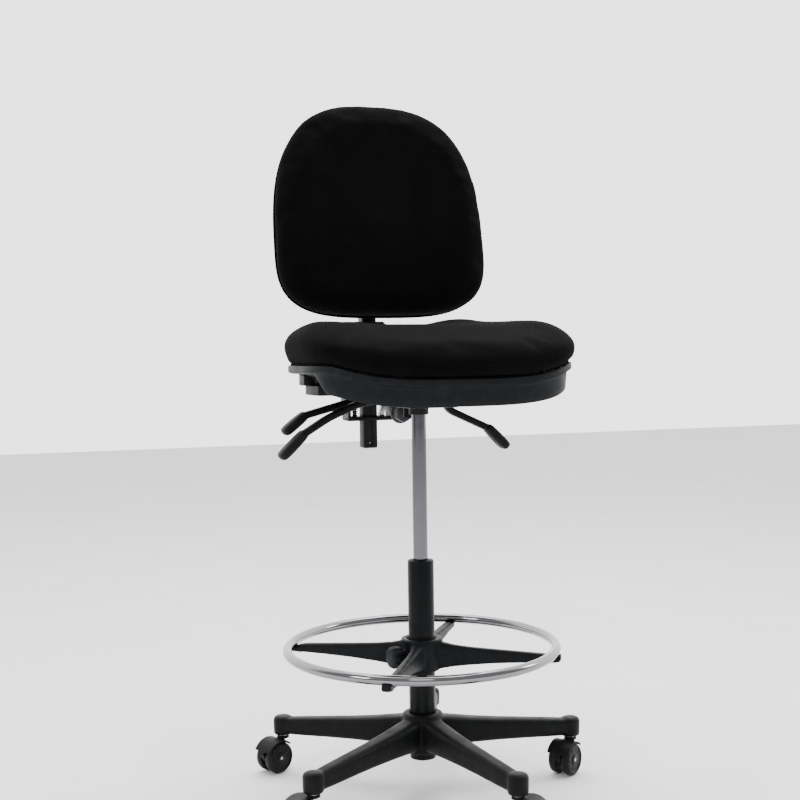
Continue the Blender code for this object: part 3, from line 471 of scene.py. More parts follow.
def hooded_castor(number):
    name = f"castor_{number}"
    roll = joint(name + "_roll")
    swivel = Vector(joint(name + "_swivel")["pos_m"])
    axle = Vector(roll["pos_m"])
    trail = Vector((axle.x - swivel.x, axle.y - swivel.y, 0)).normalized()
    side = Vector((-trail.y, trail.x, 0))
    upright = Matrix(((trail.x, side.x, 0, axle.x), (trail.y, side.y, 0, axle.y),
                      (0, 0, 1, axle.z), (0, 0, 0, 1)))
    wheel_r = axle.z

    def arc(low, high, radius, steps):
        return [(radius * math.cos(math.radians(low + (high - low) * i / steps)),
                 radius * math.sin(math.radians(low + (high - low) * i / steps))) for i in range(steps + 1)]

    def slab(data, outline, half):
        skin(data, [[upright @ Vector((x, y, z)) for x, z in outline] for y in (-half, half)])

    def build(data):
        web = arc(14, 182, wheel_r + 0.0030, 28) + [(-0.030, -0.007), (-0.012, -0.012), (0.012, -0.012),
                                                    (0.026, -0.004)]
        slab(data, web, 0.0053)
        hood = arc(26, 134, wheel_r + 0.0044, 20) + arc(134, 26, wheel_r + 0.0015, 20)
        slab(data, hood, 0.0236)
        pivot = upright @ Matrix.Translation((-0.022, 0, 0))
        skin(data, turned_rings([(0.0, 0.0380), (0.0118, 0.0380), (0.0122, 0.0320), (0.0132, 0.0318),
                                 (0.0, 0.0314)], pivot, 32))

    hood = fused(name + "_hood", BASE_PLASTIC, build, 0.0011, 3)
    stem = turned(name + "_stem", ZINC, [
        (0.0, 0.0668), (0.0049, 0.0668), (0.0054, 0.0655), (0.0054, 0.0400), (0.0108, 0.0396),
        (0.0108, 0.0381), (0.0, 0.0381)], upright @ Matrix.Translation((-0.022, 0, 0)), 32)
    stand_in(hood, name + "_swivel", name + "_housing")
    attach(stem, name + "_swivel")
    for label, sign in (("left", 1), ("right", -1)):
        across = upright @ Matrix.Rotation(-sign * math.pi / 2, 4, "X")
        profile = [(0.0034, 0.0064), (0.0270, 0.0064), (0.0290, 0.0070), (0.0299, 0.0086),
                   (0.0299, 0.0176), (0.0288, 0.0205), (0.0268, 0.0222), (0.0248, 0.0225),
                   (0.0238, 0.0216), (0.0226, 0.0205), (0.0120, 0.0208), (0.0108, 0.0219),
                   (0.0070, 0.0226), (0.0034, 0.0227)]
        wheel = turned(f"{name}_tyre_{label}", WHEEL_PLASTIC, profile, across, 56, closed=True)
        stand_in(wheel, name + "_wheels", f"{name}_wheel_{label}")
        for k in range(5):
            a = 2 * math.pi * k / 5
            spot = across @ Matrix.Translation((0.0172 * math.cos(a), 0.0172 * math.sin(a), 0.0))
            boss = turned(f"{name}_boss_{label}_{k}", WHEEL_PLASTIC, [
                (0.0, 0.0216), (0.0024, 0.0216), (0.0031, 0.0210), (0.0033, 0.0204), (0.0, 0.0204)],
                spot, 20)
            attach(boss, name + "_wheels")
        cap = turned(f"{name}_cap_{label}", ZINC, [
            (0.0, 0.0231), (0.0022, 0.0230), (0.0032, 0.0225), (0.0032, 0.0190), (0.0, 0.0190)], across, 24)
        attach(cap, name + "_wheels")
    frame["nodes"][name + "_axle"].data.materials[0] = ZINC


# ---------------------------------------------------------------- gas lift and foot ring

def gas_lift():
    top, low = TUBE_HIGH[2], TUBE_LOW[2]
    tube = turned("outer_tube", TUBE_PAINT, [
        (0.0222, top - 0.0004), (0.0228, top), (0.0240, top), (0.0247, top - 0.0006), (0.0250, top - 0.0016),
        (0.0250, low + 0.0012), (0.0244, low), (0.0062, low), (0.0062, low + 0.0028),
        (0.0221, low + 0.0028)], steps=96, closed=True, smooth=50)
    stand_in(tube, "base", "lift_outer_tube")
    bush = turned("guide_collar", SHELL_PLASTIC, [
        (0.0144, top - 0.0002), (0.0150, top + 0.0006), (0.0205, top + 0.0009), (0.0219, top + 0.0002),
        (0.0217, top - 0.078), (0.0144, top - 0.078)], steps=72, closed=True)
    stand_in(bush, "base", "lift_guide_bush")
    high, bottom = CYL_HIGH[2], CYL_LOW[2]
    # The cylinder takes the darker chrome copy, painted shade.
    cylinder = turned("chrome_cylinder", SHADED_CYLINDER_CHROME, [
        (0.0044, high), (0.0128, high), (0.0139, high - 0.0012), (0.0140, high - 0.004),
        (0.0140, bottom + 0.003), (0.0136, bottom + 0.0008), (0.0126, bottom), (0.0063, bottom),
        (0.0063, bottom + 0.011), (0.0108, bottom + 0.0125), (0.0108, high - 0.031), (0.0044, high - 0.031)],
        steps=96, closed=True, smooth=50)
    stand_in(cylinder, "mechanism", "lift_gas_cylinder")


def ring_tube():
    major, minor = 160, 28

    def build(data):
        loop_skin(data, [[Vector((x, y, 0)) * (RING_R + across) + Vector((0, 0, RING_Z + up))
                          for across, up in circle(RING_TUBE, minor)] for x, y in circle(1.0, major)])

    ring = add_object("chrome_ring", mesh_from("chrome_ring", build), DARKENED_CHROME, 180)
    stand_in(ring, "footring", "footring_ring")


def ring_spider():
    """The hub's flanged collar and four webs that flare at the hub and cradle the ring."""
    low, high = 0.222, 0.283

    def build(data):
        rings = turned_rings([(0.0372, high), (0.0392, high - 0.0016), (0.0394, high - 0.0050),
                              (0.0372, high - 0.0072), (0.0352, low + 0.003), (0.0336, low)],
                             Matrix.Identity(4), 72)
        inner = turned_rings([(0.0279, low), (0.0279, high)], Matrix.Identity(4), 72)
        loop_skin(data, rings + inner)
        for angle in SPOKE_ANGLES:
            turn = spun(angle)
            stations = ((0.031, 0.0150, 0.2240, 0.2790), (0.042, 0.0112, 0.2265, 0.2755),
                        (0.060, 0.0092, 0.2300, 0.2718), (0.090, 0.0086, 0.2342, 0.2688),
                        (0.140, 0.0084, 0.2396, 0.2662), (0.190, 0.0084, 0.2432, 0.2640),
                        (0.232, 0.0086, 0.2455, 0.2620), (0.244, 0.0092, 0.2460, 0.2600),
                        (0.256, 0.0096, 0.2463, 0.2560), (0.2640, 0.0090, 0.2480, 0.2620),
                        (0.2665, 0.0080, 0.2500, 0.2620))
            skin(data, arm_rings(turn, stations, 5.0, 24))
        boss = along_axis(KNOB_AXIS * 0.030 + Vector((0, 0, 0.252)), KNOB_AXIS)
        skin(data, turned_rings([(0.0, 0.0), (0.0125, 0.0), (0.0105, 0.0155), (0.0, 0.0155)], boss, 32))

    hub = fused("ring_hub", HUB_PLASTIC, build, 0.0016, 3)
    cut_groove(hub)
    stand_in(hub, "footring", "footring_hub")
    liner = turned("ring_liner", SHELL_PLASTIC, [
        (0.0275, high + 0.0018), (0.0266, high + 0.0022), (0.0254, high + 0.0018),
        (0.0254, low - 0.0018), (0.0266, low - 0.0022), (0.0275, low - 0.0018)], steps=72, closed=True)
    stand_in(liner, "footring_slider", "footring_sleeve")
    for k, angle in enumerate(SPOKE_ANGLES):
        place = spun(angle) @ Matrix.Translation((0.2450, 0, 0.2460)) @ Matrix.Rotation(math.pi, 4, "X")
        screw = turned(f"ring_screw_{k + 1}", ZINC, [
            (0.0, 0.0022), (0.0026, 0.0022), (0.0040, 0.0012), (0.0043, -0.001), (0.0, -0.001)], place, 24)
        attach(screw, "footring")


def cut_groove(hub):
    """Keeps the hub's skin clear of the ring tube."""
    clear = RING_TUBE + 0.0004
    for vertex in hub.data.vertices:
        p = vertex.co
        flat = Vector((p.x, p.y)).length
        if flat < 1e-6:
            continue
        core = Vector((p.x * RING_R / flat, p.y * RING_R / flat, RING_Z))
        away = p - core
        if away.length < clear:
            vertex.co = core + away.normalized() * clear


def clamp_knob():
    """The ribbed hand knob: a domed cap with a scalloped grip."""
    origin = KNOB_AXIS * 0.0468 + Vector((0, 0, 0.252))
    place = along_axis(origin, KNOB_AXIS)
    lobes, steps = 10, 120
    sections = ((0.0150, 0.0), (0.0180, 0.0010), (0.0190, 0.0035), (0.0195, 0.0120), (0.0192, 0.0190),
                (0.0178, 0.0222), (0.0150, 0.0236), (0.0080, 0.0242))

    def build(data):
        rings = [[place @ Vector((0, 0, 0))]]
        for radius, height in sections:
            ribbed = 0.0011 * smoothstep((0.0225 - height) / 0.004) * smoothstep(height / 0.003)
            ring = []
            for i in range(steps):
                a = 2 * math.pi * i / steps
                r = radius + ribbed * (abs(math.cos(lobes * a / 2)) ** 0.5 * 2 - 1)
                ring.append(place @ Vector((r * math.cos(a), r * math.sin(a), height)))
            rings.append(ring)
        rings.append([place @ Vector((0, 0, 0.0244))])
        skin(data, rings)

    knob = add_object("clamp_knob", mesh_from("clamp_knob", build), KNOB_PLASTIC, 50)
    stand_in(knob, "footring_knob", "footring_knob")
    screw = turned("clamp_screw", ZINC, [(0.0, 0.0), (0.0039, 0.0), (0.0039, -0.0175), (0.0, -0.0175)],
                   place, 24)
    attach(screw, "footring_knob")


# ---------------------------------------------------------------- mechanism and levers

def mechanism():
    refined("mechanism_housing", "mechanism_case", STEEL_PAINT, "mechanism", 0.0006, 2)
    refined("seat_plate", "seat_bracket", STEEL_PAINT, "seat", 0.0004, 1)
    refined("back_carrier", "back_bracket", STEEL_PAINT, "back_arm", 0.0008, 2)
    refined("tension_stud", "tension_bracket", STEEL_PAINT, "mechanism", 0.0004, 1)
    tension = joint("tension_knob_turn")["pos_m"]
    place = along_axis((tension[0], 0.091, tension[2]), (0, 1, 0))

    def build(data):
        rings = [[place @ Vector((0, 0, 0))]]
        for radius, height in ((0.0145, 0.0), (0.0166, 0.0012), (0.0172, 0.0040), (0.0174, 0.0200),
                               (0.0180, 0.0232)):
            ring = []
            for i in range(96):
                a = 2 * math.pi * i / 96
                flat = math.cos(math.pi / 6) / math.cos((a + math.pi / 6) % (math.pi / 3) - math.pi / 6)
                r = radius * (0.35 + 0.65 * flat * 1.03)
                ring.append(place @ Vector((r * math.cos(a), r * math.sin(a), height)))
            rings.append(ring)
        for radius, height in ((0.0196, 0.0238), (0.0204, 0.0246), (0.0204, 0.0282), (0.0193, 0.0290)):
            rings.append([place @ Vector((x, y, height)) for x, y in circle(radius, 96)])
        rings.append([place @ Vector((0, 0, 0.0290))])
        skin(data, rings)

    knob = add_object("tension_grip", mesh_from("tension_grip", build), TENSION_PLASTIC, 35)
    stand_in(knob, "tension_knob", "tension_knob")
    bracket_details()


def coil(name, finish, origin, radius, wire, turns, height, body):
    """A compression spring: a round wire along a helix with closed ends."""
    steps, sides = turns * 20, 10

    def build(data):
        rings = []
        for i in range(steps + 1):
            t = i / steps
            a = 2 * math.pi * turns * t
            middle = Vector((radius * math.cos(a), radius * math.sin(a), height * t))
            tangent = Vector((-math.sin(a) * radius, math.cos(a) * radius, height / (2 * math.pi * turns)))
            tangent.normalize()
            out = Vector((math.cos(a), math.sin(a), 0))
            up = tangent.cross(out)
            rings.append([Vector(origin) + middle + out * x + up * y for x, y in circle(wire, sides)])
        skin(data, rings)

    spring = add_object(name, mesh_from(name, build), finish, 60)
    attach(spring, body)
    return spring


def bracket_details():
    """What shows in the upright's guide: a spring on its seat and the bright locking cam."""
    seat_low, seat_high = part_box("upright_spring_seat")
    middle = centre("upright_spring_seat")
    spring = coil("guide_spring", ZINC, (middle.x, middle.y, seat_low[2] + 0.0022), 0.0056, 0.0009, 5,
                  seat_high[2] - seat_low[2] - 0.0044, "back_arm")
    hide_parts("upright_spring_seat")
    post = turned("guide_post", STEEL_PAINT, [
        (0.0, seat_high[2]), (0.0058, seat_high[2]), (0.0062, seat_high[2] - 0.0012),
        (0.0040, seat_high[2] - 0.0020), (0.0040, seat_low[2] + 0.0020), (0.0062, seat_low[2] + 0.0012),
        (0.0062, seat_low[2]), (0.0, seat_low[2])], Matrix.Translation((middle.x, middle.y, 0)), 32)
    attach(post, "back_arm")
    refined("upright_lock_cam", "lock_cam", ZINC, "back_arm", 0.0012, 3)


# Each lever: node, joint, side (+1 is +X), inner end, outer bends as (reach, z), tip
LEVERS = (
    ("lever_gas", "gas_lever", -1, ((-0.0045, 0.7523), (0.012, 0.7523)),
     ((0.120, 0.733), (0.180, 0.708), (0.228, 0.679)), (0.2715, 0.637)),
    ("lever_back_tilt", "back_tilt_lever", -1, ((0.0505, 0.742),),
     ((0.120, 0.736), (0.217, 0.711)), (0.256, 0.680)),
    ("lever_seat_tilt", "seat_tilt_lever", 1, ((0.0505, 0.742),),
     ((0.074, 0.7145), (0.158, 0.676)), (0.197, 0.637)))


def bent_path(points, radius, steps=6):
    """An open line through points with its corners rounded."""
    vectors = [Vector(p) for p in points]
    path = [vectors[0]]
    for before, corner, after in zip(vectors, vectors[1:], vectors[2:]):
        reach = min(radius, (before - corner).length * 0.45, (after - corner).length * 0.45)
        start = corner + (before - corner).normalized() * reach
        end = corner + (after - corner).normalized() * reach
        for k in range(steps + 1):
            t = k / steps
            path.append(start * (1 - t) ** 2 + corner * 2 * t * (1 - t) + end * t * t)
    path.append(vectors[-1])
    return path


def lever_section(side, y, spot, along, half_width, half_thick, power):
    normal = Vector((-along.y, along.x))
    ring = []
    for across, up in oval(half_width, half_thick, power, 32):
        place = spot + normal * up
        ring.append(Vector((side * place.x, y + across, place.y)))
    return ring


def levers():
    for node, joint_name, side, inner, bends, tip in LEVERS:
        pivot = Vector(joint(joint_name)["pos_m"])
        y = pivot.y
        start, end = Vector(bends[-1]), Vector(tip)
        along = (end - start).normalized()
        path = bent_path([*inner, (abs(pivot.x), pivot.z), *bends, tuple(start + along * 0.020)], 0.016)

        def build_strip(data):
            rings = []
            for i, spot in enumerate(path):
                ahead = path[min(i + 1, len(path) - 1)] - path[max(i - 1, 0)]
                swell = smoothstep((spot.x - 0.058) / 0.020)
                rings.append(lever_section(side, y, spot, ahead.normalized(), 0.0085 + 0.0005 * swell,
                                           0.0030 + 0.0038 * swell, 5.0))
            skin(data, rings)

        strip = add_object(node + "_strip", mesh_from(node + "_strip", build_strip), STEEL_PAINT, 50)
        stand_in(strip, node, node + "_bar")
        length = (end - start).length
        stations = ((-0.0040, 0.0098, 0.0066), (-0.0030, 0.0110, 0.0076), (0.0, 0.0122, 0.0084),
                    (0.006, 0.0134, 0.0090), (0.016, 0.0145, 0.0094), (length * 0.50, 0.0156, 0.0095),
                    (length * 0.75, 0.0164, 0.0092), (length * 0.90, 0.0160, 0.0084),
                    (length * 0.97, 0.0148, 0.0072), (length * 1.0, 0.0120, 0.0052),
                    (length * 1.0 + 0.0012, 0.0085, 0.0034))

        def build_grip(data):
            skin(data, [lever_section(side, y, start + along * d, along, w, t, 4.6)
                        for d, w, t in stations])

        grip = add_object(node + "_grip", mesh_from(node + "_grip", build_grip), PADDLE_PLASTIC, 55)
        stand_in(grip, node, node + "_paddle")
        eye = turned(node + "_eye", STEEL_PAINT, [
            (0.0, 0.0092), (0.0058, 0.0092), (0.0066, 0.0084), (0.0066, -0.0084), (0.0058, -0.0092),
            (0.0, -0.0092)], along_axis(pivot, (0, 1, 0)), 40)
        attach(eye, node)
        for sign in (-1, 1):
            place = along_axis(pivot + Vector((0, sign * 0.0090, 0)), (0, sign, 0))
            washer = turned(f"{node}_pin_{'front' if sign < 0 else 'rear'}", ZINC, [
                (0.0, 0.0018), (0.0030, 0.0018), (0.0042, 0.0010), (0.0044, 0.0002), (0.0, 0.0002)],
                place, 28)
            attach(washer, node)


# ---------------------------------------------------------------- seat

def seat_reach(angle):
    depth, power = (SEAT_REAR, REAR_POWER) if math.sin(angle) > 0 else (SEAT_FRONT, FRONT_POWER)
    return super_radius(angle, SEAT_HALF_WIDTH, depth, power)


def front_share(y):
    return min(1.0, max(0.0, (SEAT_MID_Y - SEAT_FRONT + FRONT_DIP_LENGTH - y) / FRONT_DIP_LENGTH))


def rim_height(y):
    t = front_share(y)
    return RIM_Z - FRONT_DIP * t * t * (1.6 - 0.6 * t)


def skirt_depth(y):
    share = min(1.0, max(0.0, (SKIRT_START - y) / SKIRT_BLEND))
    bottom = SKIRT_BOTTOM + SKIRT_RISE * (1 - front_share(y) ** 1.3)
    return share * (rim_height(y) - LIP - 0.002 - bottom)


def side_point(scale, y):
    depth, power = (SEAT_REAR, REAR_POWER) if y > SEAT_MID_Y else (SEAT_FRONT, FRONT_POWER)
    along = abs(y - SEAT_MID_Y) / (scale * depth)
    return scale * SEAT_HALF_WIDTH * (1 - along ** power) ** (1 / power), y


def seat_ring(scale, height, count):
    ring = []
    for i in range(count):
        angle = 2 * math.pi * i / count
        reach = seat_reach(angle)
        rim_y = SEAT_MID_Y + reach * math.sin(angle)
        ring.append(Vector((scale * reach * math.cos(angle),
                            SEAT_MID_Y + scale * reach * math.sin(angle), height(rim_y))))
    return ring


def seat_pan():
    count = 240
    floor_high, floor_low = 0.7853, 0.7823

    def under(y):
        return rim_height(y) - LIP - 0.002

    sections = [
        (0.86, lambda y: floor_high), (0.945, lambda y: rim_height(y) - 0.010),
        (0.982, lambda y: rim_height(y) - 0.008), (0.985, lambda y: rim_height(y) - 0.001),
        (0.9875, rim_height), (0.9960, rim_height), (0.9992, lambda y: rim_height(y) - 0.0008),
        (1.0, lambda y: rim_height(y) - 0.0025), (1.0, lambda y: rim_height(y) - LIP + 0.0025),
        (0.9985, lambda y: rim_height(y) - LIP + 0.0006), (0.9950, lambda y: rim_height(y) - LIP),
        (0.9720, under), (0.9690, lambda y: under(y) - 0.0012 * min(1, skirt_depth(y) / 0.01)),
        (0.9675, lambda y: under(y) - 0.12 * skirt_depth(y)),
        (0.9610, lambda y: under(y) - 0.60 * skirt_depth(y)),
        (0.9560, lambda y: under(y) - 0.955 * skirt_depth(y)),
        (0.9530, lambda y: under(y) - skirt_depth(y)), (0.9450, lambda y: under(y) - skirt_depth(y)),
        (0.9425, lambda y: under(y) - 0.955 * skirt_depth(y) + 0.0004),
        (0.9410, lambda y: under(y) + 0.0005),
        (0.850, lambda y: floor_low)]

    def build(data):
        rings = [[Vector((0, SEAT_MID_Y, floor_high))]]
        rings += [seat_ring(scale, height, count) for scale, height in sections]
        rings.append([Vector((0, SEAT_MID_Y, floor_low))])
        skin(data, rings)

    pan = add_object("seat_tray", mesh_from("seat_tray", build), PAN_PLASTIC, 32)
    stand_in(pan, "seat", "seat_pan_cover")
    for side in (-1, 1):
        for label, inner, outer, front, rear, low, high in (
                ("upper", 0.84, 0.922, -0.047, 0.107, 0.7695, 0.7895),
                ("lower", 0.78, 0.877, -0.097, 0.097, 0.7520, 0.7700)):
            edge = [side_point(outer, front + (rear - front) * i / 24) for i in range(25)]
            edge += [side_point(inner, rear + (front - rear) * i / 24) for i in range(25)]
            outline = [Vector((side * x, y)) for x, y in edge]

            def build_block(data, outline=outline, low=low, high=high):
                skin(data, [[Vector((p.x, p.y, z)) for p in outline] for z in (low, high)])

            name = f"tray_step_{label}_{'left' if side > 0 else 'right'}"
            step = add_object(name, mesh_from(name, build_block), SHELL_PLASTIC, 35)
            round_edges(step, 0.0012, 3, 30, 35)
            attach(step, "seat")


def seat_top(x, y):
    """Sitting surface: two rear humps, thigh bolsters and a waterfall front."""
    hump_height = 0.0115 + 0.0025 * max(-1.0, min(1.0, x / 0.080))
    humps = hump_height * bell((abs(x) - 0.115) / 0.060) * bell((y - 0.080) / 0.080)
    bolsters = 0.007 * bell((abs(x) - 0.200) / 0.050) * bell((y + 0.040) / 0.110)
    waterfall = 0.036 * smoothstep((-0.085 - y) / 0.170)
    return 0.8745 + humps + bolsters - waterfall


def seat_pad():
    count = 120
    board_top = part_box("seat_board")[1][2] + 0.0008
    levels = ((0.984, 0.00), (1.004, 0.07), (1.022, 0.17), (1.034, 0.29), (1.039, 0.42), (1.035, 0.55),
              (1.021, 0.68), (0.997, 0.79), (0.962, 0.88), (0.918, 0.95), (0.870, 0.985))

    def build(data):
        rings = [[Vector((0, SEAT_MID_Y, board_top))], seat_ring(0.50, lambda y: board_top, count),
                 seat_ring(0.87, lambda y: board_top, count),
                 seat_ring(0.960, lambda y: rim_height(y) + 0.0018, count)]
        for scale, share in levels:
            ring = seat_ring(scale, lambda y: 0.0, count)
            for point in ring:
                low = rim_height(SEAT_MID_Y + (point.y - SEAT_MID_Y) / scale) + 0.0026
                point.z = low + share * (seat_top(point.x, point.y) - low)
            rings.append(ring)
        for k in range(14):
            scale = 0.82 * (1 - k / 14)
            ring = seat_ring(scale, lambda y: 0.0, count)
            for point in ring:
                point.z = seat_top(point.x, point.y)
            rings.append(ring)
        rings.append([Vector((0, SEAT_MID_Y, seat_top(0.0, SEAT_MID_Y)))])
        skin(data, rings)

    pad = add_object("seat_upholstery", mesh_from("seat_upholstery", build), SEAT_CLOTH, 180)
    stuff(pad, 0.0055, 0.005, keep_below=board_top + 0.004)
    stand_in(pad, "seat", "seat_cushion")


def stuff(obj, voxel, cap, keep_below=None):
    """Fills the cover: remesh, inflate as cloth, limit each point's travel, then subdivide."""
    remesh = obj.modifiers.new("even_mesh", "REMESH")
    remesh.mode = "VOXEL"
    remesh.voxel_size = voxel
    apply_modifiers(obj)
    start = [v.co.copy() for v in obj.data.vertices]
    cloth = obj.modifiers.new("filling", "CLOTH")
    settings = cloth.settings
    settings.use_pressure = True
    settings.uniform_pressure_force = 4.0
    settings.effector_weights.gravity = 0.0
    settings.quality = 6
    settings.tension_stiffness = 80.0
    settings.compression_stiffness = 8.0
    settings.bending_stiffness = 25.0
    cloth.collision_settings.use_collision = False
    scene = bpy.context.scene
    for step in range(1, 21):
        scene.frame_set(step)
    graph = bpy.context.evaluated_depsgraph_get()
    moved = [v.co.copy() for v in obj.evaluated_get(graph).data.vertices]
    obj.modifiers.remove(cloth)
    scene.frame_set(1)
    for vertex, before, after in zip(obj.data.vertices, start, moved):
        step = after - before
        limit = cap * cap_share(before, keep_below)
        if step.length > limit:
            step = step.normalized() * limit
        vertex.co = before + step
    subdivide = obj.modifiers.new("fine_cloth", "SUBSURF")
    subdivide.levels = subdivide.render_levels = 1
    relax = obj.modifiers.new("relax", "SMOOTH")
    relax.factor = 0.5
    relax.iterations = 40
    apply_modifiers(obj)
    obj.data.materials.clear()
    obj.data.materials.append(SEAT_CLOTH if "seat" in obj.name else BACK_CLOTH)
    obj.data.shade_smooth()


def cap_share(point, keep_below):
    if keep_below is None:
        return 1.0
    return smoothstep((point.z - keep_below) / 0.03)


def seat_details():
    """The welt where the cover tucks into the tray, and the board and bolts beneath."""
    count, wire, sides = 240, 0.0016, 10

    def build(data):
        path = seat_ring(0.9780, lambda y: rim_height(y) + 0.0019, count)
        rings = []
        for i, point in enumerate(path):
            ahead, behind = path[(i + 1) % count], path[i - 1]
            tangent = (ahead - behind).normalized()
            out = tangent.cross(Vector((0, 0, 1))).normalized()
            up = out.cross(tangent)
            rings.append([point + out * x + up * y for x, y in circle(wire, sides)])
        loop_skin(data, rings)

    welt = add_object("seat_welt", mesh_from("seat_welt", build), SEAT_CLOTH, 180)
    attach(welt, "seat")
    for k in range(1, 5):
        frame["nodes"][f"seat_bolt_{k}"].data.materials[0] = ZINC
    frame["nodes"]["seat_board"].data.materials[0] = PLY


# ---------------------------------------------------------------- back

BACK_LEAN = math.radians(9.0)
BACK_UP = Vector((0, math.sin(BACK_LEAN), math.cos(BACK_LEAN)))
BACK_FRONT = Vector((0, -math.cos(BACK_LEAN), math.sin(BACK_LEAN)))
BACK_HALF, BACK_LOWER, BACK_UPPER = 0.2275, 0.153, 0.300
BACK_DROP = 0.003
BACK_WRAP = 0.016
BACK_BASE = Vector((0, 0.2243, 0.899))


def back_reach(angle):
    upper = math.sin(angle) > 0
    power = 2.65 if upper else 3.6
    height = BACK_UPPER if upper else BACK_LOWER + BACK_DROP
    return super_radius(angle, BACK_HALF, height, power)


def back_point(x, v, depth):
    wrapped = depth + BACK_WRAP * (x / BACK_HALF) ** 2
    return BACK_BASE + Vector((x, 0, 0)) + BACK_UP * v + BACK_FRONT * wrapped


def back_ring(scale, depth, count, bulge=None):
    ring = []
    for i in range(count):
        angle = 2 * math.pi * i / count
        reach = scale * back_reach(angle)
        x, v = reach * math.cos(angle), BACK_LOWER + reach * math.sin(angle)
        ring.append(back_point(x, v, depth + (bulge(x, v) if bulge else 0.0)))
    return ring


def lumbar(x, v):
    """The face swells low down and flattens towards the top."""
    return 0.004 * bell((v - 0.15) / 0.10) * bell(x / 0.16) - 0.003 * bell((v - 0.34) / 0.09)


def back_pad():
    count = 120
    sections = ((0.86, 0.0024), (0.945, 0.0030), (0.975, 0.0075), (0.996, 0.0150), (1.003, 0.0240),
                (0.994, 0.0345), (0.966, 0.0445), (0.915, 0.0520), (0.845, 0.0562))

    def build(data):
        rings = [[back_point(0, BACK_LOWER, 0.0024)], back_ring(0.45, 0.0024, count)]
        rings += [back_ring(scale, depth, count) for scale, depth in sections]
        for k in range(12):
            scale = 0.76 * (1 - k / 12)
            rings.append(back_ring(scale, 0.0575, count, lumbar))
        rings.append([back_point(0, BACK_LOWER, 0.0575 + lumbar(0, BACK_LOWER))])
        skin(data, rings)

    pad = add_object("back_upholstery", mesh_from("back_upholstery", build), BACK_CLOTH, 180)
    stuff(pad, 0.0050, 0.0045)
    flatten_rear(pad)
    stand_in(pad, "back", "back_cushion")


def flatten_rear(pad):
    """The padding's rear lies flat on its board."""
    for vertex in pad.data.vertices:
        offset = vertex.co - BACK_BASE
        depth = offset.dot(BACK_FRONT) - BACK_WRAP * (vertex.co.x / BACK_HALF) ** 2
        if depth < 0.0022:
            vertex.co += BACK_FRONT * (0.0022 - depth)


def back_shell():
    count = 200
    sections = ((0.40, -0.0300), (0.70, -0.0282), (0.84, -0.0232), (0.905, -0.0170), (0.945, -0.0092),
                (0.962, -0.0030), (0.9675, 0.0020), (0.9665, 0.0042), (0.9630, 0.0050), (0.9580, 0.0044),
                (0.950, 0.0010), (0.935, -0.0060), (0.86, -0.0170), (0.66, -0.0245), (0.40, -0.0265))

    def build(data):
        rings = [[back_point(0, BACK_LOWER, -0.0300)]]
        rings += [back_ring(scale, depth, count) for scale, depth in sections]
        rings.append([back_point(0, BACK_LOWER, -0.0265)])
        skin(data, rings)

    shell = add_object("back_casing", mesh_from("back_casing", build), SHELL_PLASTIC, 45)
    stand_in(shell, "back", "back_outer_shell")
    back_piping()
    frame["nodes"]["back_inner_board"].data.materials[0] = PLY
    refined("back_upright", "back_bar", STEEL_PAINT, "back", 0.0008, 2)
    refined("upright_cover", "bar_sleeve", SHELL_PLASTIC, "back", 0.0010, 2)
    mounting_flange()


def mounting_flange():
    """The wings that screw the bar's head to the shell, one on each side."""
    for side in (-1, 1):
        corners = [(0.0160, 0.050), (0.0400, 0.062), (0.0400, 0.208), (0.0160, 0.220)]
        outline = rounded([(side * x, v) for x, v in corners], 0.010, 5)

        def build(data, outline=outline):
            skin(data, [[BACK_BASE + Vector((p.x, 0, 0)) + BACK_UP * p.y + BACK_FRONT * depth
                         for p in outline] for depth in (-0.0345, -0.0295)])

        label = "left" if side > 0 else "right"
        wing = add_object(f"flange_{label}", mesh_from(f"flange_{label}", build), STEEL_PAINT, 35)
        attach(wing, "back")
        for k, v in enumerate((0.083, 0.187)):
            spot = BACK_BASE + Vector((side * 0.029, 0, 0)) + BACK_UP * v - BACK_FRONT * 0.0342
            bolt = turned(f"flange_bolt_{label}_{k + 1}", ZINC, [
                (0.0, 0.0040), (0.0024, 0.0040), (0.0026, 0.0028), (0.0034, 0.0042), (0.0056, 0.0030),
                (0.0064, 0.0008), (0.0064, -0.0008), (0.0, -0.0008)], along_axis(spot, -BACK_FRONT), 32)
            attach(bolt, "back")


def back_piping():
    """The covered cord along the joint between padding and shell."""
    count, wire, sides = 240, 0.0021, 12

    def build(data):
        path = back_ring(0.9760, 0.0068, count)
        rings = []
        for i, point in enumerate(path):
            tangent = (path[(i + 1) % count] - path[i - 1]).normalized()
            out = tangent.cross(BACK_FRONT).normalized()
            rings.append([point + out * x + BACK_FRONT * y for x, y in circle(wire, sides)])
        loop_skin(data, rings)

    piping = add_object("back_piping", mesh_from("back_piping", build), BACK_CLOTH, 180)
    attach(piping, "back")


# ---------------------------------------------------------------- hidden CAD nodes

def finish_inner_nodes():
    finishes = {"lift_thrust_bearing": ZINC, "lift_piston_rod": ZINC, "lift_retaining_clip": ZINC,
                "release_pin": ZINC, "seat_tilt_shaft": ZINC, "back_tilt_shaft": ZINC}
    for node, finish in finishes.items():
        frame["nodes"][node].data.materials[0] = finish


# ---------------------------------------------------------------- floor, light and camera

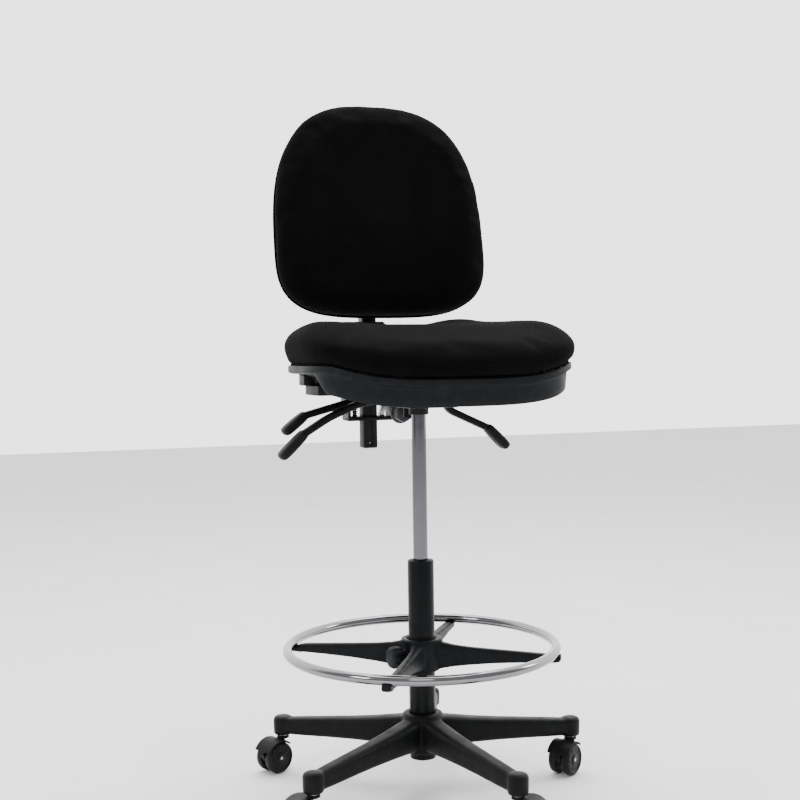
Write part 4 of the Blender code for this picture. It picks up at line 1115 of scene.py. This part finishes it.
CAMERA_DISTANCE = 2.40
CAMERA_HEIGHT = 0.828
CAMERA_AZIMUTH = math.radians(-20.0)
CAMERA_ROLL = math.radians(-0.77)
LENS = 56.5
COLUMN_SHIFT = -0.0222
HORIZON_SHIFT = -0.060
BACKDROP = 3.0
DARK_SIDE = 0.22
LAMPS = (
    ("top", (0.2, 0.6, 3.6), 3.0, 170, (0.0, 0.2, 0.0)),
    ("left strip", (-2.6, -0.9, 1.7), 0.7, 22, (0.0, 0.0, 0.6)),
    ("right strip", (2.5, -0.4, 1.6), 0.6, 16, (0.0, 0.0, 0.6)),
    ("front", (-1.2, -3.2, 2.8), 1.2, 16, (0.0, 0.0, 0.8)))


def studio():
    def build(data):
        data.faces.new([data.verts.new(p) for p in ((-9, -9, 0), (9, -9, 0), (9, 9, 0), (-9, 9, 0))])

    floor = add_object("floor", mesh_from("floor", build), floor_finish(), 0)
    world = bpy.data.worlds.new("studio_world")
    world.use_nodes = True
    nodes, links = world.node_tree.nodes, world.node_tree.links
    direction = nodes.new("ShaderNodeTexCoord")
    facing = nodes.new("ShaderNodeVectorMath")
    facing.operation = "DOT_PRODUCT"
    facing.inputs[1].default_value = (-math.sin(CAMERA_AZIMUTH), math.cos(CAMERA_AZIMUTH), 0.0)
    links.new(direction.outputs["Generated"], facing.inputs[0])
    ramp = nodes.new("ShaderNodeValToRGB")
    ramp.color_ramp.interpolation = "EASE"
    shift = nodes.new("ShaderNodeMapRange")
    shift.inputs["From Min"].default_value = -1.0
    links.new(facing.outputs["Value"], shift.inputs["Value"])
    links.new(shift.outputs["Result"], ramp.inputs["Fac"])
    stops = ((0.0, DARK_SIDE), (0.44, DARK_SIDE), (0.70, 1.0), (1.0, 1.0))
    for i, (position, level) in enumerate(stops):
        element = ramp.color_ramp.elements[i] if i < 2 else ramp.color_ramp.elements.new(position)
        element.position = position
        element.color = (level, level, level, 1.0)
    background = nodes["Background"]
    links.new(ramp.outputs["Color"], background.inputs["Color"])
    background.inputs["Strength"].default_value = BACKDROP
    bpy.context.scene.world = world
    for name, place, size, power, target in LAMPS:
        light = bpy.data.lights.new(name, "AREA")
        light.size = size
        light.energy = power
        lamp = bpy.data.objects.new(name, light)
        lamp.location = place
        lamp.rotation_euler = (Vector(target) - Vector(place)).to_track_quat("-Z", "Y").to_euler()
        bpy.context.scene.collection.objects.link(lamp)


def camera():
    lens = bpy.data.cameras.new("camera")
    lens.sensor_width = 36.0
    lens.lens = LENS
    lens.shift_x = COLUMN_SHIFT
    lens.shift_y = HORIZON_SHIFT
    eye = bpy.data.objects.new("camera", lens)
    eye.location = (CAMERA_DISTANCE * math.sin(CAMERA_AZIMUTH),
                    -CAMERA_DISTANCE * math.cos(CAMERA_AZIMUTH), CAMERA_HEIGHT)
    level = Matrix.Rotation(CAMERA_AZIMUTH, 4, "Z") @ Matrix.Rotation(math.pi / 2, 4, "X")
    eye.rotation_euler = (level @ Matrix.Rotation(CAMERA_ROLL, 4, "Z")).to_euler()
    bpy.context.scene.collection.objects.link(eye)
    bpy.context.scene.camera = eye


camera()
studio()
star_base()
for castor_number in range(1, 6):
    hooded_castor(castor_number)
gas_lift()
ring_tube()
ring_spider()
clamp_knob()
mechanism()
levers()
seat_pan()
seat_pad()
seat_details()
back_pad()
back_shell()
finish_inner_nodes()
